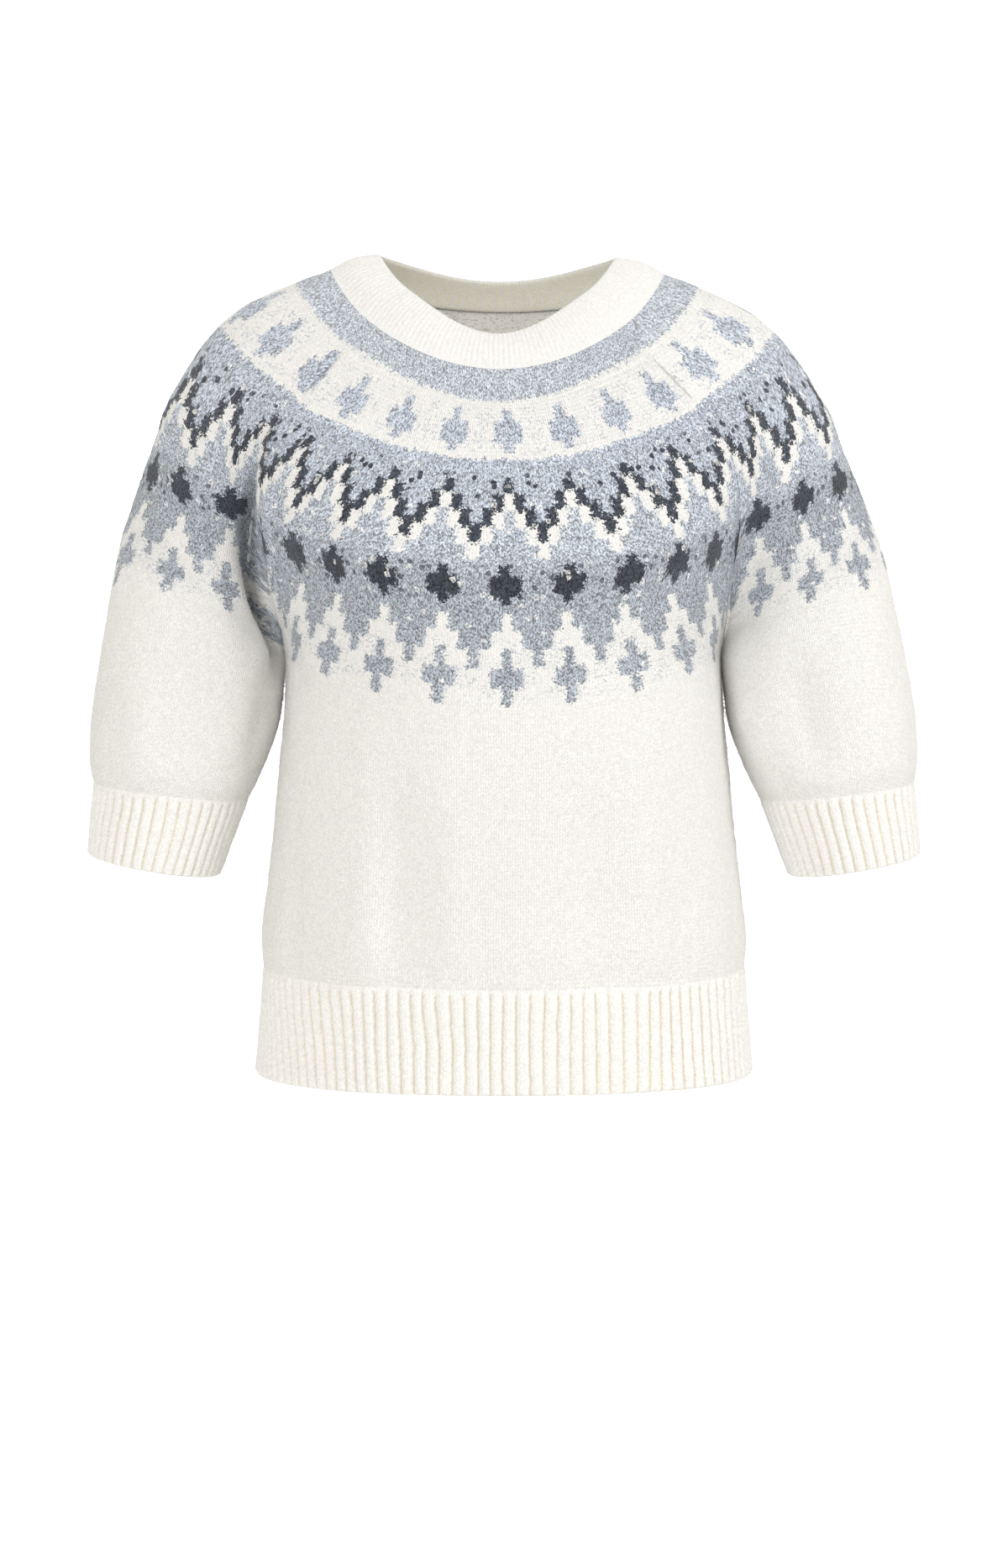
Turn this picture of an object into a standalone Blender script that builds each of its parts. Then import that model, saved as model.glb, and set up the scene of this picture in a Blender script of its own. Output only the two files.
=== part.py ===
# A round-yoke sweater with short wide sleeves, as it sits on a wearer, with nobody in it.
# Metres, +Z up. The front faces -Y and the wearer's left sleeve is at +X. The origin lies midway
# between the shoulders at the base of the neck.
#
# Every piece is a wall of knitted cloth: an outer skin worked out from the tables below, a plain
# inner skin one wall inside it, and edges that close the two. The tables give the rounds of the
# knitting from the neck down, in millimetres, each with its depth of knitting below the neck seam.
# Backs are tabled as if they faced -Y too, and are turned round where they are used.

import math
from bisect import bisect_left
from collections import namedtuple

import bmesh
import bpy
from mathutils import Vector

MM = 0.001

# Driving dimensions, in millimetres
WALL = 2.4
SEAM_GAP = 0.3
SHOULDER_SHIFT, SHOULDER_TILT = -4.5, 0.013
SETTLE_START, SETTLE_HEIGHT = -330, 290
NECK_RIBS, NECK_RELIEF = {"front": 50, "left": 36, "back": 46, "right": 36}, 0.8
HEM_RIBS_A_SIDE, HEM_RELIEF = 55, 1.7
CUFF_RIBS, CUFF_RELIEF = 42, 1.5
RIB_SHOULDERS = (0.24, 0.76)
CORNER_SPREAD = 5
NEARBY = 0.004

# Columns of the mesh from side to side of each piece. The tables' rows say how many rows of the mesh
# lead to each round from the one above it.
COLUMNS = {"front": 20, "back": 20, "left": 16, "right": 16}

# One round of the yoke. top is where it crosses the top of the shoulder. A face gives, for the front
# or the back, where the round crosses the centre and the raglan seam, its heading there on the body
# and on the sleeve (degrees from +X, towards the shoulder's top at 90), and how fast it climbs there.
Round = namedtuple("Round", "name knit rows top front back")
Top = namedtuple("Top", "x z")
Face = namedtuple("Face", "centre_y centre_z seam_x seam_y seam_z body_turn sleeve_turn climb")

NECK = [
    Round("opening edge", -32, 1, Top(80, 13.0),
          Face(-66, -43, 58.5, -45, -14, 42, 42, 0.55), Face(-60, 0.5, 57, -42, 8.5, 43, 43, 0.16)),
    Round("neckband middle", -16, 1, Top(99, 9.5),
          Face(-77.5, -54.5, 72, -53.5, -24.5, 42, 42, 0.55), Face(-70, -8.5, 70, -51, 1, 43, 43, 0.17)),
]
YOKE = [
    Round("neck seam", 0, 1, Top(114, 2.0),
          Face(-86, -68, 83, -60, -38, 43, 43, 0.55), Face(-78, -20, 83, -57, -11, 43, 43, 0.18)),
    Round("first blue band ends", 22, 1, Top(137, -6.5),
          Face(-99, -89, 97, -70, -52, 39, 39, 0.48), Face(-88, -41, 97, -67, -26, 39, 39, 0.20)),
    Round("cream band ends", 65, 2, Top(190, -37),
          Face(-115, -129, 131, -84, -88, 33, 33, 0.42), Face(-101, -82, 130, -79, -66, 33, 33, 0.25)),
    Round("zigzag peaks", 96, 2, Top(222, -82),
          Face(-124, -157, 151, -88, -115, 33, 27, 0.36), Face(-107, -112, 149, -81, -96, 33, 27, 0.22)),
    Round("zigzag drops end", 137, 2, Top(235.5, -116),
          Face(-131, -193.5, 159, -75, -160, 62, -4, 0.25), Face(-112, -150, 158, -70, -145, 60, -2, 0.15)),
    Round("dots end", 183, 2, Top(251.5, -157),
          Face(-133, -235, 154.5, -39, -210, 80, -52, 0.10), Face(-114, -195, 154, -38, -202, 80, -52, 0)),
    Round("pattern ends", 243, 2, Top(265.3, -201),
          Face(-132, -290, 149.5, 0, -260, 90, -90, 0), Face(-114, -250, 149.5, 0, -260, 90, -90, 0)),
]

UNDERARM = YOKE[-1].knit

# One level of the body below the underarm
Level = namedtuple("Level", "name knit rows side_x side_z front_y front_z back_y back_z")
BODY = [
    Level("below the underarm", 283, 1, 151.5, -300, -131.5, -326, -113.5, -294),
    Level("waist", 341, 2, 157, -360, -130, -378, -112.5, -356),
    Level("high hip", 400, 2, 163.5, -420, -128, -427, -112.5, -418),
    Level("fullest over the hem", 437, 1, 167.5, -458, -128, -460, -114.5, -457),
    Level("hem rib starts", 452, 1, 166.5, -474, -125.5, -475, -112, -473.5),
]
HEM = [
    Level("hem rib middle", 487, 1, 168.5, -510, -122.5, -510, -111.5, -508),
    Level("hem edge", 522, 1, 172, -548, -121.5, -545.5, -112.5, -543.5),
]
BODY_ROUNDNESS = 1.08

# One ring of a sleeve below the underarm, from its inner line to its outer line
Ring = namedtuple("Ring", "name knit rows inner_x inner_z outer_x outer_z half_depth middle_y")
SLEEVE = [
    Ring("upper arm", 271, 1, 153.5, -283, 272, -233, 62, -1),
    Ring("elbow side", 303, 1, 158.5, -306, 279, -270, 61.5, -2),
    Ring("fullest over the cuff", 340, 1, 165, -334, 284.5, -309, 60.5, -4),
    Ring("gathers to the cuff", 362, 1, 173, -351, 285, -335, 57.5, -5),
    Ring("cuff starts", 372, 1, 177, -358.5, 283.2, -346, 53.5, -5),
]
CUFF = [
    Ring("cuff middle", 403, 1, 187.5, -385, 285, -371, 49.5, -6),
    Ring("cuff edge", 434, 1, 198, -412, 287, -396, 46.5, -7),
]
SLEEVE_ROUNDNESS = {183: 1.22, 243: 1.07}

# Soft folds that run down a piece: where across it (-1 to 1 on the body, 0 to 2 round a sleeve as
# SleeveSurface counts it), how far down the knitting they start and end, how wide they are in the
# measure of across, and how deep. They come in and go out over a stretch of knitting.
FOLD_START_OVER, FOLD_END_OVER = 60, 35
Fold = namedtuple("Fold", "piece across start end width depth")
FOLDS = [
    Fold("front", -0.22, 290, 470, 0.13, 4.5),
    Fold("front", 0.30, 300, 475, 0.12, 3.0),
    Fold("front", -0.62, 370, 470, 0.10, 3.0),
    Fold("back", 0.26, 285, 470, 0.13, 4.0),
    Fold("back", -0.34, 300, 475, 0.12, 3.5),
    Fold("back", 0.66, 360, 470, 0.10, 3.0),
    Fold("left", 0.42, 235, 365, 0.13, 3.5),
    Fold("left", 1.52, 240, 360, 0.13, 3.0),
    Fold("right", 0.40, 240, 360, 0.12, 3.0),
    Fold("right", 1.55, 235, 365, 0.13, 3.5),
]

YOKE_COLOUR = (0.86, 0.85, 0.82, 1.0)
RIB_COLOUR = (0.90, 0.875, 0.83, 1.0)
ROUGHNESS = 0.92


def eased(value):
    """0 to 1 with a soft start and end."""
    value = min(1.0, max(0.0, value))
    return value * value * (3.0 - 2.0 * value)


class Arc:
    """A smooth stretch of a round between two points, each with a heading seen from above."""

    SAMPLES = 48
    SHARPEST_CORNER = math.radians(100)

    def __init__(self, start, start_turn, start_climb, end, end_turn, end_climb, fullness=1.0):
        first, last = math.radians(start_turn), math.radians(end_turn)
        start_reach, end_reach = self.reaches(start, first, end, last)
        leave = Vector((math.cos(first), math.sin(first), start_climb))
        arrive = Vector((math.cos(last), math.sin(last), end_climb))
        self.points = (start, start + leave * start_reach * fullness,
                       end - arrive * end_reach * fullness, end)
        self.run = [0.0]
        previous = start
        for step in range(1, self.SAMPLES + 1):
            point = self.bezier(step / self.SAMPLES)
            self.run.append(self.run[-1] + (point - previous).length)
            previous = point
        self.length = self.run[-1]

    def reaches(self, start, first, end, last):
        """How far the curve keeps to each heading, so that it bends as an ellipse does."""
        bend = last - first
        across, along = end.x - start.x, end.y - start.y
        if bend > self.SHARPEST_CORNER:
            each = math.hypot(across, along) / (3 * math.cos(bend / 4) ** 2)
            return each, each
        to_start = (across * math.sin(last) - along * math.cos(last)) / math.sin(bend)
        to_end = (along * math.cos(first) - across * math.sin(first)) / math.sin(bend)
        share = 4 / 3 * math.tan(bend / 4) / math.tan(bend / 2)
        return to_start * share, to_end * share

    def bezier(self, t):
        a, b, c, d = self.points
        u = 1 - t
        return a * u ** 3 + b * (3 * u * u * t) + c * (3 * u * t * t) + d * t ** 3

    def at(self, share):
        """The point at a share of the arc's length."""
        wanted = share * self.length
        step = min(max(bisect_left(self.run, wanted), 1), self.SAMPLES)
        span = self.run[step] - self.run[step - 1]
        return self.bezier((step - 1 + (wanted - self.run[step - 1]) / span) / self.SAMPLES)


def yoke_arcs(row, side):
    """The body's and the sleeve's arcs of one round of the yoke, on the front or the back."""
    face = getattr(row, side)
    centre = Vector((0, face.centre_y, face.centre_z))
    seam = Vector((face.seam_x, face.seam_y, face.seam_z))
    top = Vector((row.top.x, 0, row.top.z))
    roundness = SLEEVE_ROUNDNESS.get(row.knit, 1.0)
    on_body = Arc(centre, 0, 0, seam, face.body_turn, face.climb)
    on_sleeve = Arc(seam, face.sleeve_turn, face.climb, top, 90, 0, roundness)
    return on_body, on_sleeve


def level_arc(level, side):
    """From the centre to the side seam, on one level of the body."""
    centre_y, centre_z = ((level.front_y, level.front_z) if side == "front" else (level.back_y, level.back_z))
    side_seam = Vector((level.side_x, 0, level.side_z))
    return Arc(Vector((0, centre_y, centre_z)), 0, 0, side_seam, 90, 0, BODY_ROUNDNESS)


def ring_arc(ring, side):
    """From a sleeve's inner line round its front or its back to its outer line."""
    middle = ring.middle_y if side == "front" else -ring.middle_y
    inner = Vector((ring.inner_x, 0, ring.inner_z))
    outer = Vector((ring.outer_x, 0, ring.outer_z))
    roundness = 2 * (ring.half_depth - middle) / (ring.outer_x - ring.inner_x)
    return Arc(inner, -90, 0, outer, 90, 0, roundness)


def spline(knots, points, knit, corner):
    """A smooth curve through points at fixed knots, for a column of knitting that runs down them.
    corner, from 0 to 1, says how far the column turns a corner at the underarm."""
    last = len(knots) - 1
    step = min(max(bisect_left(knots, knit), 1), last) - 1

    def slope(index, beside):
        """The curve's slope at a knot; beside is the other end of the stretch it is wanted for."""
        straight = (points[beside] - points[index]) / (knots[beside] - knots[index])
        low, high = max(index - 1, 0), min(index + 1, last)
        if low == index or high == index:
            return straight
        before = (points[index] - points[low]) / (knots[index] - knots[low])
        after = (points[high] - points[index]) / (knots[high] - knots[index])
        share = (knots[index] - knots[low]) / (knots[high] - knots[low])
        smooth = before * (1 - share) + after * share
        return smooth.lerp(straight, corner) if knots[index] == UNDERARM else smooth

    span = knots[step + 1] - knots[step]
    t = (knit - knots[step]) / span
    return (points[step] * (2 * t ** 3 - 3 * t * t + 1)
            + slope(step, step + 1) * span * (t ** 3 - 2 * t * t + t)
            + points[step + 1] * (3 * t * t - 2 * t ** 3)
            + slope(step + 1, step) * span * (t ** 3 - t * t))


def settled(point):
    """The shoulders sit a little to one side of the body, and one a little higher, as worn."""
    share = eased((point.z - SETTLE_START) / SETTLE_HEIGHT)
    return Vector((point.x + SHOULDER_SHIFT * share, point.y, point.z - SHOULDER_TILT * point.x * share))


class Surface:
    """The outer face of the sweater along one side: a point for each place across it and each depth of
    knitting, from the neck's opening edge to the hem or the cuff."""

    def __init__(self, side, rows, first, last):
        self.side, self.knots, self.first, self.last = side, [row.knit for row in rows], first, last
        self.folds = [fold for fold in FOLDS if fold.piece == side]

    def corner(self, across):
        """How far a column turns a corner at the underarm: fully on a seam, hardly at the middle."""
        middle, half = (self.first + self.last) / 2, (self.last - self.first) / 2
        return abs((across - middle) / half) ** CORNER_SPREAD

    def plain(self, across, knit):
        return settled(spline(self.knots, self.column(across), knit, self.corner(across)))

    def beside(self, across, step, knit):
        """A place one step aside; on a seam there is nothing further on."""
        return min(max(across + step, self.first), self.last)

    def outward(self, across, knit):
        """The direction straight out of the cloth."""
        round_way = (self.plain(self.beside(across, NEARBY, knit), knit)
                     - self.plain(self.beside(across, -NEARBY, knit), knit))
        top, bottom = max(knit - 1, self.knots[0]), min(knit + 1, self.knots[-1])
        down_way = self.plain(across, bottom) - self.plain(across, top)
        return down_way.cross(round_way).normalized()

    def fold_depth(self, across, knit):
        depth = 0.0
        for fold in self.folds:
            aside = (across - fold.across) / fold.width
            along = (eased((knit - fold.start) / FOLD_START_OVER)
                     * eased((fold.end - knit) / FOLD_END_OVER))
            depth += fold.depth * along * math.exp(-aside * aside)
        return depth

    def at(self, across, knit, raised=0.0):
        out = self.outward(across, knit)
        return self.plain(across, knit) + out * (raised - self.fold_depth(across, knit))

    def places(self):
        """Where the columns of a plain piece stand."""
        return spread(self.first, self.last, COLUMNS[self.side])

    def on_edge(self, across, knit, raised=0.0):
        """As at, but on the straight lines that join a plain piece's columns along its edge."""
        places = self.places()
        step = min(max(bisect_left(places, across), 1), len(places) - 1)
        share = (across - places[step - 1]) / (places[step] - places[step - 1])
        start, end = (self.at(place, knit, raised) for place in places[step - 1:step + 1])
        return start.lerp(end, share)


class BodySurface(Surface):
    """The front or the back, from side to side: -1 and 1 lie on the seams, 0 at the centre."""

    def __init__(self, side):
        super().__init__(side, NECK + YOKE + BODY + HEM, -1.0, 1.0)
        self.arcs = ([yoke_arcs(row, side)[0] for row in NECK + YOKE]
                     + [level_arc(row, side) for row in BODY + HEM])

    def column(self, across):
        points = []
        for arc in self.arcs:
            point = arc.at(abs(across))
            point.x = math.copysign(point.x, across)
            if self.side == "back":
                point = Vector((-point.x, -point.y, point.z))
            points.append(point)
        return points


class SleeveSurface(Surface):
    """A sleeve from one raglan seam (0) over the outside (1) to the other (2): from the front one on
    the left sleeve, from the back one on the right. Below the underarm it closes on itself."""

    def __init__(self, side):
        super().__init__(side, NECK + YOKE + SLEEVE + CUFF, 0.0, 2.0)
        self.arcs = {face: ([yoke_arcs(row, face)[1] for row in NECK + YOKE]
                            + [ring_arc(row, face) for row in SLEEVE + CUFF])
                     for face in ("front", "back")}

    def beside(self, across, step, knit):
        return (across + step) % 2.0 if knit > UNDERARM else super().beside(across, step, knit)

    def column(self, across):
        if self.side == "right":
            across = 2.0 - across
        points = []
        for front, back in zip(self.arcs["front"], self.arcs["back"]):
            point = front.at(across) if across <= 1 else back.at(2 - across)
            if across > 1:
                point.y = -point.y
            if self.side == "right":
                point.x = -point.x
            points.append(point)
        return points


def spread(first, last, count):
    """Even places from first to last."""
    return [first + (last - first) * step / count for step in range(count + 1)]


def knit_steps(*tables):
    """Depths of knitting for the rows of a mesh, from the first table's first round to the last one."""
    rounds = [row for table in tables for row in table]
    steps = [rounds[0].knit]
    for row in rounds[1:]:
        steps += spread(steps[-1], row.knit, row.rows)[1:]
    return steps


def grid(surface, steps, depth):
    """Rows of points on a plain piece's outer face, or depth inside it, tucked in at its seams."""
    places = surface.places()
    tuck = {places[0]: SEAM_GAP / 2, places[-1]: SEAM_GAP / 2}
    return [[surface.at(across, knit, -depth - tuck.get(across, 0.0)) for across in places]
            for knit in steps]


def ribbed(surface, places, steps, seam):
    """Rows of points of a ribbed piece, for places given as (across, how far raised). On the seam's
    depth of knitting they follow the straight lines of the plain piece that the ribs are knitted to."""
    return [[(surface.on_edge if knit == seam else surface.at)(across, knit, raised)
             for across, raised in places] for knit in steps]


def drawn_in(rows, ends=True, top=True, bottom=True):
    """Pull the edges of a grid back by half the seam's gap."""
    half = SEAM_GAP / 2
    rows = [list(row) for row in rows]
    if ends:
        for row in rows:
            for edge, beside in ((0, 1), (-1, -2)):
                row[edge] = row[edge] + (row[beside] - row[edge]).normalized() * half
    for wanted, edge, beside in ((top, 0, 1), (bottom, -1, -2)):
        if wanted:
            rows[edge] = [point + (other - point).normalized() * half
                          for point, other in zip(rows[edge], rows[beside])]
    return rows


class Wall:
    """Builds one closed wall from the grids of its outer and inner faces."""

    def __init__(self):
        self.mesh = bmesh.new()

    def add(self, rows):
        return [[self.mesh.verts.new(point * MM) for point in row] for row in rows]

    def face(self, corners, flipped):
        self.mesh.faces.new(corners[::-1] if flipped else corners)

    def skin(self, rows, closed, inside):
        for upper, lower in zip(rows, rows[1:]):
            count = len(upper)
            for here in range(count if closed else count - 1):
                beside = (here + 1) % count
                self.face((upper[here], lower[here], lower[beside], upper[beside]), inside)

    def zip_edges(self, outer, inner, closed, flipped):
        """Close an edge between two rows of points that may differ in number."""
        outer, inner = list(outer), list(inner)
        if closed:
            outer.append(outer[0])
            inner.append(inner[0])
        here, there = 0, 0
        while here < len(outer) - 1 or there < len(inner) - 1:
            outer_next = (here + 1) * (len(inner) - 1)
            inner_next = (there + 1) * (len(outer) - 1)
            if there == len(inner) - 1 or (here < len(outer) - 1 and outer_next <= inner_next):
                self.face((outer[here], outer[here + 1], inner[there]), flipped)
                here += 1
            else:
                self.face((outer[here], inner[there + 1], inner[there]), flipped)
                there += 1

    def close_side(self, outer, inner, column, flipped):
        """Close the edge along the first or last column of a wall."""
        for step in range(len(outer) - 1):
            corners = (outer[step][column], outer[step + 1][column],
                       inner[step + 1][column], inner[step][column])
            self.face(corners, flipped)

    def finish(self, name, colour):
        mesh = bpy.data.meshes.new(name)
        bmesh.ops.triangulate(self.mesh, faces=self.mesh.faces[:])
        self.mesh.to_mesh(mesh)
        self.mesh.free()
        piece = bpy.data.objects.new(name, mesh)
        bpy.context.scene.collection.objects.link(piece)
        mesh.materials.append(yarn(name, colour))


def yarn(name, colour):
    material = bpy.data.materials.new(name + "_yarn")
    material.use_nodes = True
    shader = material.node_tree.nodes["Principled BSDF"]
    shader.inputs["Base Color"].default_value = colour
    shader.inputs["Roughness"].default_value = ROUGHNESS
    shader.inputs["Metallic"].default_value = 0.0
    return material


def strip(name, outer, inner, colour):
    """An open wall: a panel or half a hem, with four edges."""
    wall = Wall()
    outside, inside = wall.add(outer), wall.add(inner)
    wall.skin(outside, False, False)
    wall.skin(inside, False, True)
    wall.zip_edges(outside[0], inside[0], False, False)
    wall.zip_edges(outside[-1], inside[-1], False, True)
    wall.close_side(outside, inside, 0, True)
    wall.close_side(outside, inside, -1, False)
    wall.finish(name, colour)


def tube(name, outer, inner, colour):
    """A wall that closes on itself: a band or a cuff."""
    wall = Wall()
    outside, inside = wall.add(outer), wall.add(inner)
    wall.skin(outside, True, False)
    wall.skin(inside, True, True)
    wall.zip_edges(outside[0], inside[0], True, False)
    wall.zip_edges(outside[-1], inside[-1], True, True)
    wall.finish(name, colour)


def slit_tube(name, outer, inner, slit_rows, colour):
    """A wall that closes on itself from one row down, and stands open along the rows above it."""
    wall = Wall()
    skins = [wall.add(rows[:slit_rows] + [row[:-1] for row in rows[slit_rows:]])
             for rows in (outer, inner)]
    for skin in skins:
        for row in skin[slit_rows:]:
            row.append(row[0])
    outside, inside = skins
    wall.skin(outside, False, False)
    wall.skin(inside, False, True)
    wall.zip_edges(outside[0], inside[0], False, False)
    wall.zip_edges(outside[-1], inside[-1], False, True)
    for column, flipped in ((0, True), (-1, False)):
        wall.close_side(outside[:slit_rows + 1], inside[:slit_rows + 1], column, flipped)
    wall.finish(name, colour)


def body_panel(side):
    """The front or the back, from the neck seam to the hem rib."""
    surface = BodySurface(side)
    steps = knit_steps(YOKE, BODY)
    strip(side + "_panel", drawn_in(grid(surface, steps, 0.0)), drawn_in(grid(surface, steps, WALL)),
          YOKE_COLOUR)


def sleeve(side):
    """A sleeve from the neck seam to its cuff."""
    surface = SleeveSurface(side)
    steps = knit_steps(YOKE, SLEEVE)
    slit_rows = steps.index(UNDERARM)
    skins = []
    for depth in (0.0, WALL):
        points = grid(surface, steps, depth)
        for row in points[slit_rows:]:
            row[0] = row[-1] = (row[0] + row[-1]) / 2
        slit = drawn_in(points[:slit_rows], top=False, bottom=False)
        skins.append(drawn_in(slit + points[slit_rows:], ends=False))
    slit_tube("sleeve_" + side, *skins, slit_rows, YOKE_COLOUR)


def rib_places(surface, count, relief):
    """Across a ribbed piece, the two shoulders of each rib stand raised between its grooves."""
    places = []
    width = (surface.last - surface.first) / count
    for start in spread(surface.first, surface.last, count)[:-1]:
        places.append((start, 0.0))
        places += [(start + shoulder * width, relief) for shoulder in RIB_SHOULDERS]
    return places


def inner_places(surface, count):
    """Plain places on the inner face, one wall in."""
    return [(across, -WALL) for across in spread(surface.first, surface.last, count)]


def hem_rib(side):
    """Half of the ribbed hem, from side seam to side seam."""
    surface = BodySurface(side)
    steps = knit_steps(BODY[-1:], HEM)
    outer_places = rib_places(surface, HEM_RIBS_A_SIDE, HEM_RELIEF) + [(surface.last, 0.0)]
    outer = ribbed(surface, outer_places, steps, steps[0])
    inner = ribbed(surface, inner_places(surface, HEM_RIBS_A_SIDE), steps, steps[0])
    strip("hem_rib_" + side, drawn_in(outer), drawn_in(inner), RIB_COLOUR)


def cuff(side):
    """The ribbed cuff of one sleeve."""
    surface = SleeveSurface(side)
    steps = knit_steps(SLEEVE[-1:], CUFF)
    outer = ribbed(surface, rib_places(surface, CUFF_RIBS, CUFF_RELIEF), steps, steps[0])
    inner = ribbed(surface, inner_places(surface, CUFF_RIBS)[:-1], steps, steps[0])
    tube("cuff_" + side, drawn_in(outer, ends=False), drawn_in(inner, ends=False), RIB_COLOUR)


def neckband():
    """The band of narrow ribs round the neck, knitted on to all four pieces of the yoke."""
    steps = knit_steps(NECK, YOKE[:1])
    outer, inner = [[] for _ in steps], [[] for _ in steps]
    for surface in (BodySurface("front"), SleeveSurface("left"), BodySurface("back"), SleeveSurface("right")):
        ribs = NECK_RIBS[surface.side]
        halves = spread(surface.first, surface.last, 2 * ribs)[:-1]
        raised_places = [(across, NECK_RELIEF * (half % 2)) for half, across in enumerate(halves)]
        plain_places = inner_places(surface, ribs // 2)[:-1]
        for rows, places in ((outer, raised_places), (inner, plain_places)):
            for row, more in zip(rows, ribbed(surface, places, steps, YOKE[0].knit)):
                row += more
    tube("neckband", drawn_in(outer, ends=False), drawn_in(inner, ends=False), RIB_COLOUR)


def main():
    for old in list(bpy.data.objects):
        bpy.data.objects.remove(old, do_unlink=True)
    for side in ("front", "back"):
        body_panel(side)
        hem_rib(side)
    for side in ("left", "right"):
        sleeve(side)
        cuff(side)
    neckband()


main()
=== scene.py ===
import math
from collections import namedtuple
import bmesh
import bpy
import numpy as np
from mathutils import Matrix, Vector


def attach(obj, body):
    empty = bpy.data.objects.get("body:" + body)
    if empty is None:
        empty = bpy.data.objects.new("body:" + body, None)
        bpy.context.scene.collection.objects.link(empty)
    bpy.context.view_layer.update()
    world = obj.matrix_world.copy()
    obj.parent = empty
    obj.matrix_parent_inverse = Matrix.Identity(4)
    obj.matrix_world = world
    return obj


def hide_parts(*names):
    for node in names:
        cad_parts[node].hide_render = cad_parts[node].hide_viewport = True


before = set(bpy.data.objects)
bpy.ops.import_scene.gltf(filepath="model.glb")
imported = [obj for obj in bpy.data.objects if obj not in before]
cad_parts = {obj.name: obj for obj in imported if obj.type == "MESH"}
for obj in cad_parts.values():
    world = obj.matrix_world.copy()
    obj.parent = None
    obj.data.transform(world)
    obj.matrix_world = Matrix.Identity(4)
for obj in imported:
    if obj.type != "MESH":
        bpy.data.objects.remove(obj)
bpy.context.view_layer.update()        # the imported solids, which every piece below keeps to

mm = 0.001
print("frame loaded:", len(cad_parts), "solids")

# The sweater's form, in mm: the same rounds of knitting that its solids are built from. knit is the depth of
# knitting below the neck seam, at the centre of the front. across is the place between a piece's seams:
# -1 to 1 on front and back, and 0 to 2 round a sleeve.
yokeRound = namedtuple("yokeRound", "knit topX topZ front back")
yokeFace = namedtuple("yokeFace", "centreY centreZ seamX seamY seamZ bodyTurn sleeveTurn climb")
bodyLevel = namedtuple("bodyLevel", "knit sideX sideZ frontY frontZ backY backZ")
sleeveRing = namedtuple("sleeveRing", "knit innerX innerZ outerX outerZ halfDepth middleY")

yokeRounds = [
    yokeRound(-32, 80, 13.0, yokeFace(-66, -43, 58.5, -45, -14, 42, 42, 0.55),
              yokeFace(-60, 0.5, 57, -42, 8.5, 43, 43, 0.16)),
    yokeRound(-16, 99, 9.5, yokeFace(-77.5, -54.5, 72, -53.5, -24.5, 42, 42, 0.55),
              yokeFace(-70, -8.5, 70, -51, 1, 43, 43, 0.17)),
    yokeRound(0, 114, 2.0, yokeFace(-86, -68, 83, -60, -38, 43, 43, 0.55),
              yokeFace(-78, -20, 83, -57, -11, 43, 43, 0.18)),
    yokeRound(22, 137, -6.5, yokeFace(-99, -89, 97, -70, -52, 39, 39, 0.48),
              yokeFace(-88, -41, 97, -67, -26, 39, 39, 0.20)),
    yokeRound(65, 190, -37, yokeFace(-115, -129, 131, -84, -88, 33, 33, 0.42),
              yokeFace(-101, -82, 130, -79, -66, 33, 33, 0.25)),
    yokeRound(96, 222, -82, yokeFace(-124, -157, 151, -88, -115, 33, 27, 0.36),
              yokeFace(-107, -112, 149, -81, -96, 33, 27, 0.22)),
    yokeRound(137, 235.5, -116, yokeFace(-131, -193.5, 159, -75, -160, 62, -4, 0.25),
              yokeFace(-112, -150, 158, -70, -145, 60, -2, 0.15)),
    yokeRound(183, 251.5, -157, yokeFace(-133, -235, 154.5, -39, -210, 80, -52, 0.10),
              yokeFace(-114, -195, 154, -38, -202, 80, -52, 0)),
    yokeRound(243, 265.3, -201, yokeFace(-132, -290, 149.5, 0, -260, 90, -90, 0),
              yokeFace(-114, -250, 149.5, 0, -260, 90, -90, 0)),
]
bodyLevels = [
    bodyLevel(283, 151.5, -300, -131.5, -326, -113.5, -294),
    bodyLevel(341, 157, -360, -130, -378, -112.5, -356),
    bodyLevel(400, 163.5, -420, -128, -427, -112.5, -418),
    bodyLevel(437, 167.5, -458, -128, -460, -114.5, -457),
    bodyLevel(452, 166.5, -474, -125.5, -475, -112, -473.5),
    bodyLevel(487, 168.5, -510, -122.5, -510, -111.5, -508),
    bodyLevel(522, 172, -548, -121.5, -545.5, -112.5, -543.5),
]
sleeveRings = [
    sleeveRing(271, 151.6, -283, 272, -233, 62, -1),
    sleeveRing(303, 155.0, -306, 279, -270, 61.5, -2),
    sleeveRing(340, 165, -334, 284.5, -309, 60.5, -4),
    sleeveRing(362, 173, -351, 285, -335, 57.5, -5),
    sleeveRing(372, 177, -358.5, 283.2, -346, 53.5, -5),
    sleeveRing(403, 187.5, -385, 285, -371, 49.5, -6),
    sleeveRing(434, 198, -412, 287, -396, 46.5, -7),
]
form = {
    "neckEdge": -32, "neckSeam": 0, "underarm": 243,     # places down the knitting
    "hemSeam": 452, "hemEdge": 522, "cuffSeam": 372, "cuffEdge": 434,
    "wall": 2.4,                 # thickness of the cloth
    "bodyRoundness": 1.08,
    "sleeveRoundness": {183: 1.22, 243: 1.07},
    "shoulderShift": -4.5,       # how the shoulders sit a little to one side
    "shoulderTilt": 0.013,
    "settleStart": -330,         # the height where the shift and the tilt begin, and how soon they are whole
    "settleHeight": 290,
    "cornerSpread": 5,
    "nearby": 0.004,             # how far aside the surface's slope is read
    "arcSteps": 49,              # points on an arc when its length is measured
    # about how far it is from a piece's middle to its seam, at some depths of knitting
    "bodyReach": ((-32, 0, 65, 137, 183, 243, 522), (71, 93, 141, 176, 195, 222, 234)),
    "sleeveReach": ((-32, 0, 65, 137, 183, 243, 340, 434), (54, 74, 112, 124, 156, 200, 191, 146)),
}

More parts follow.
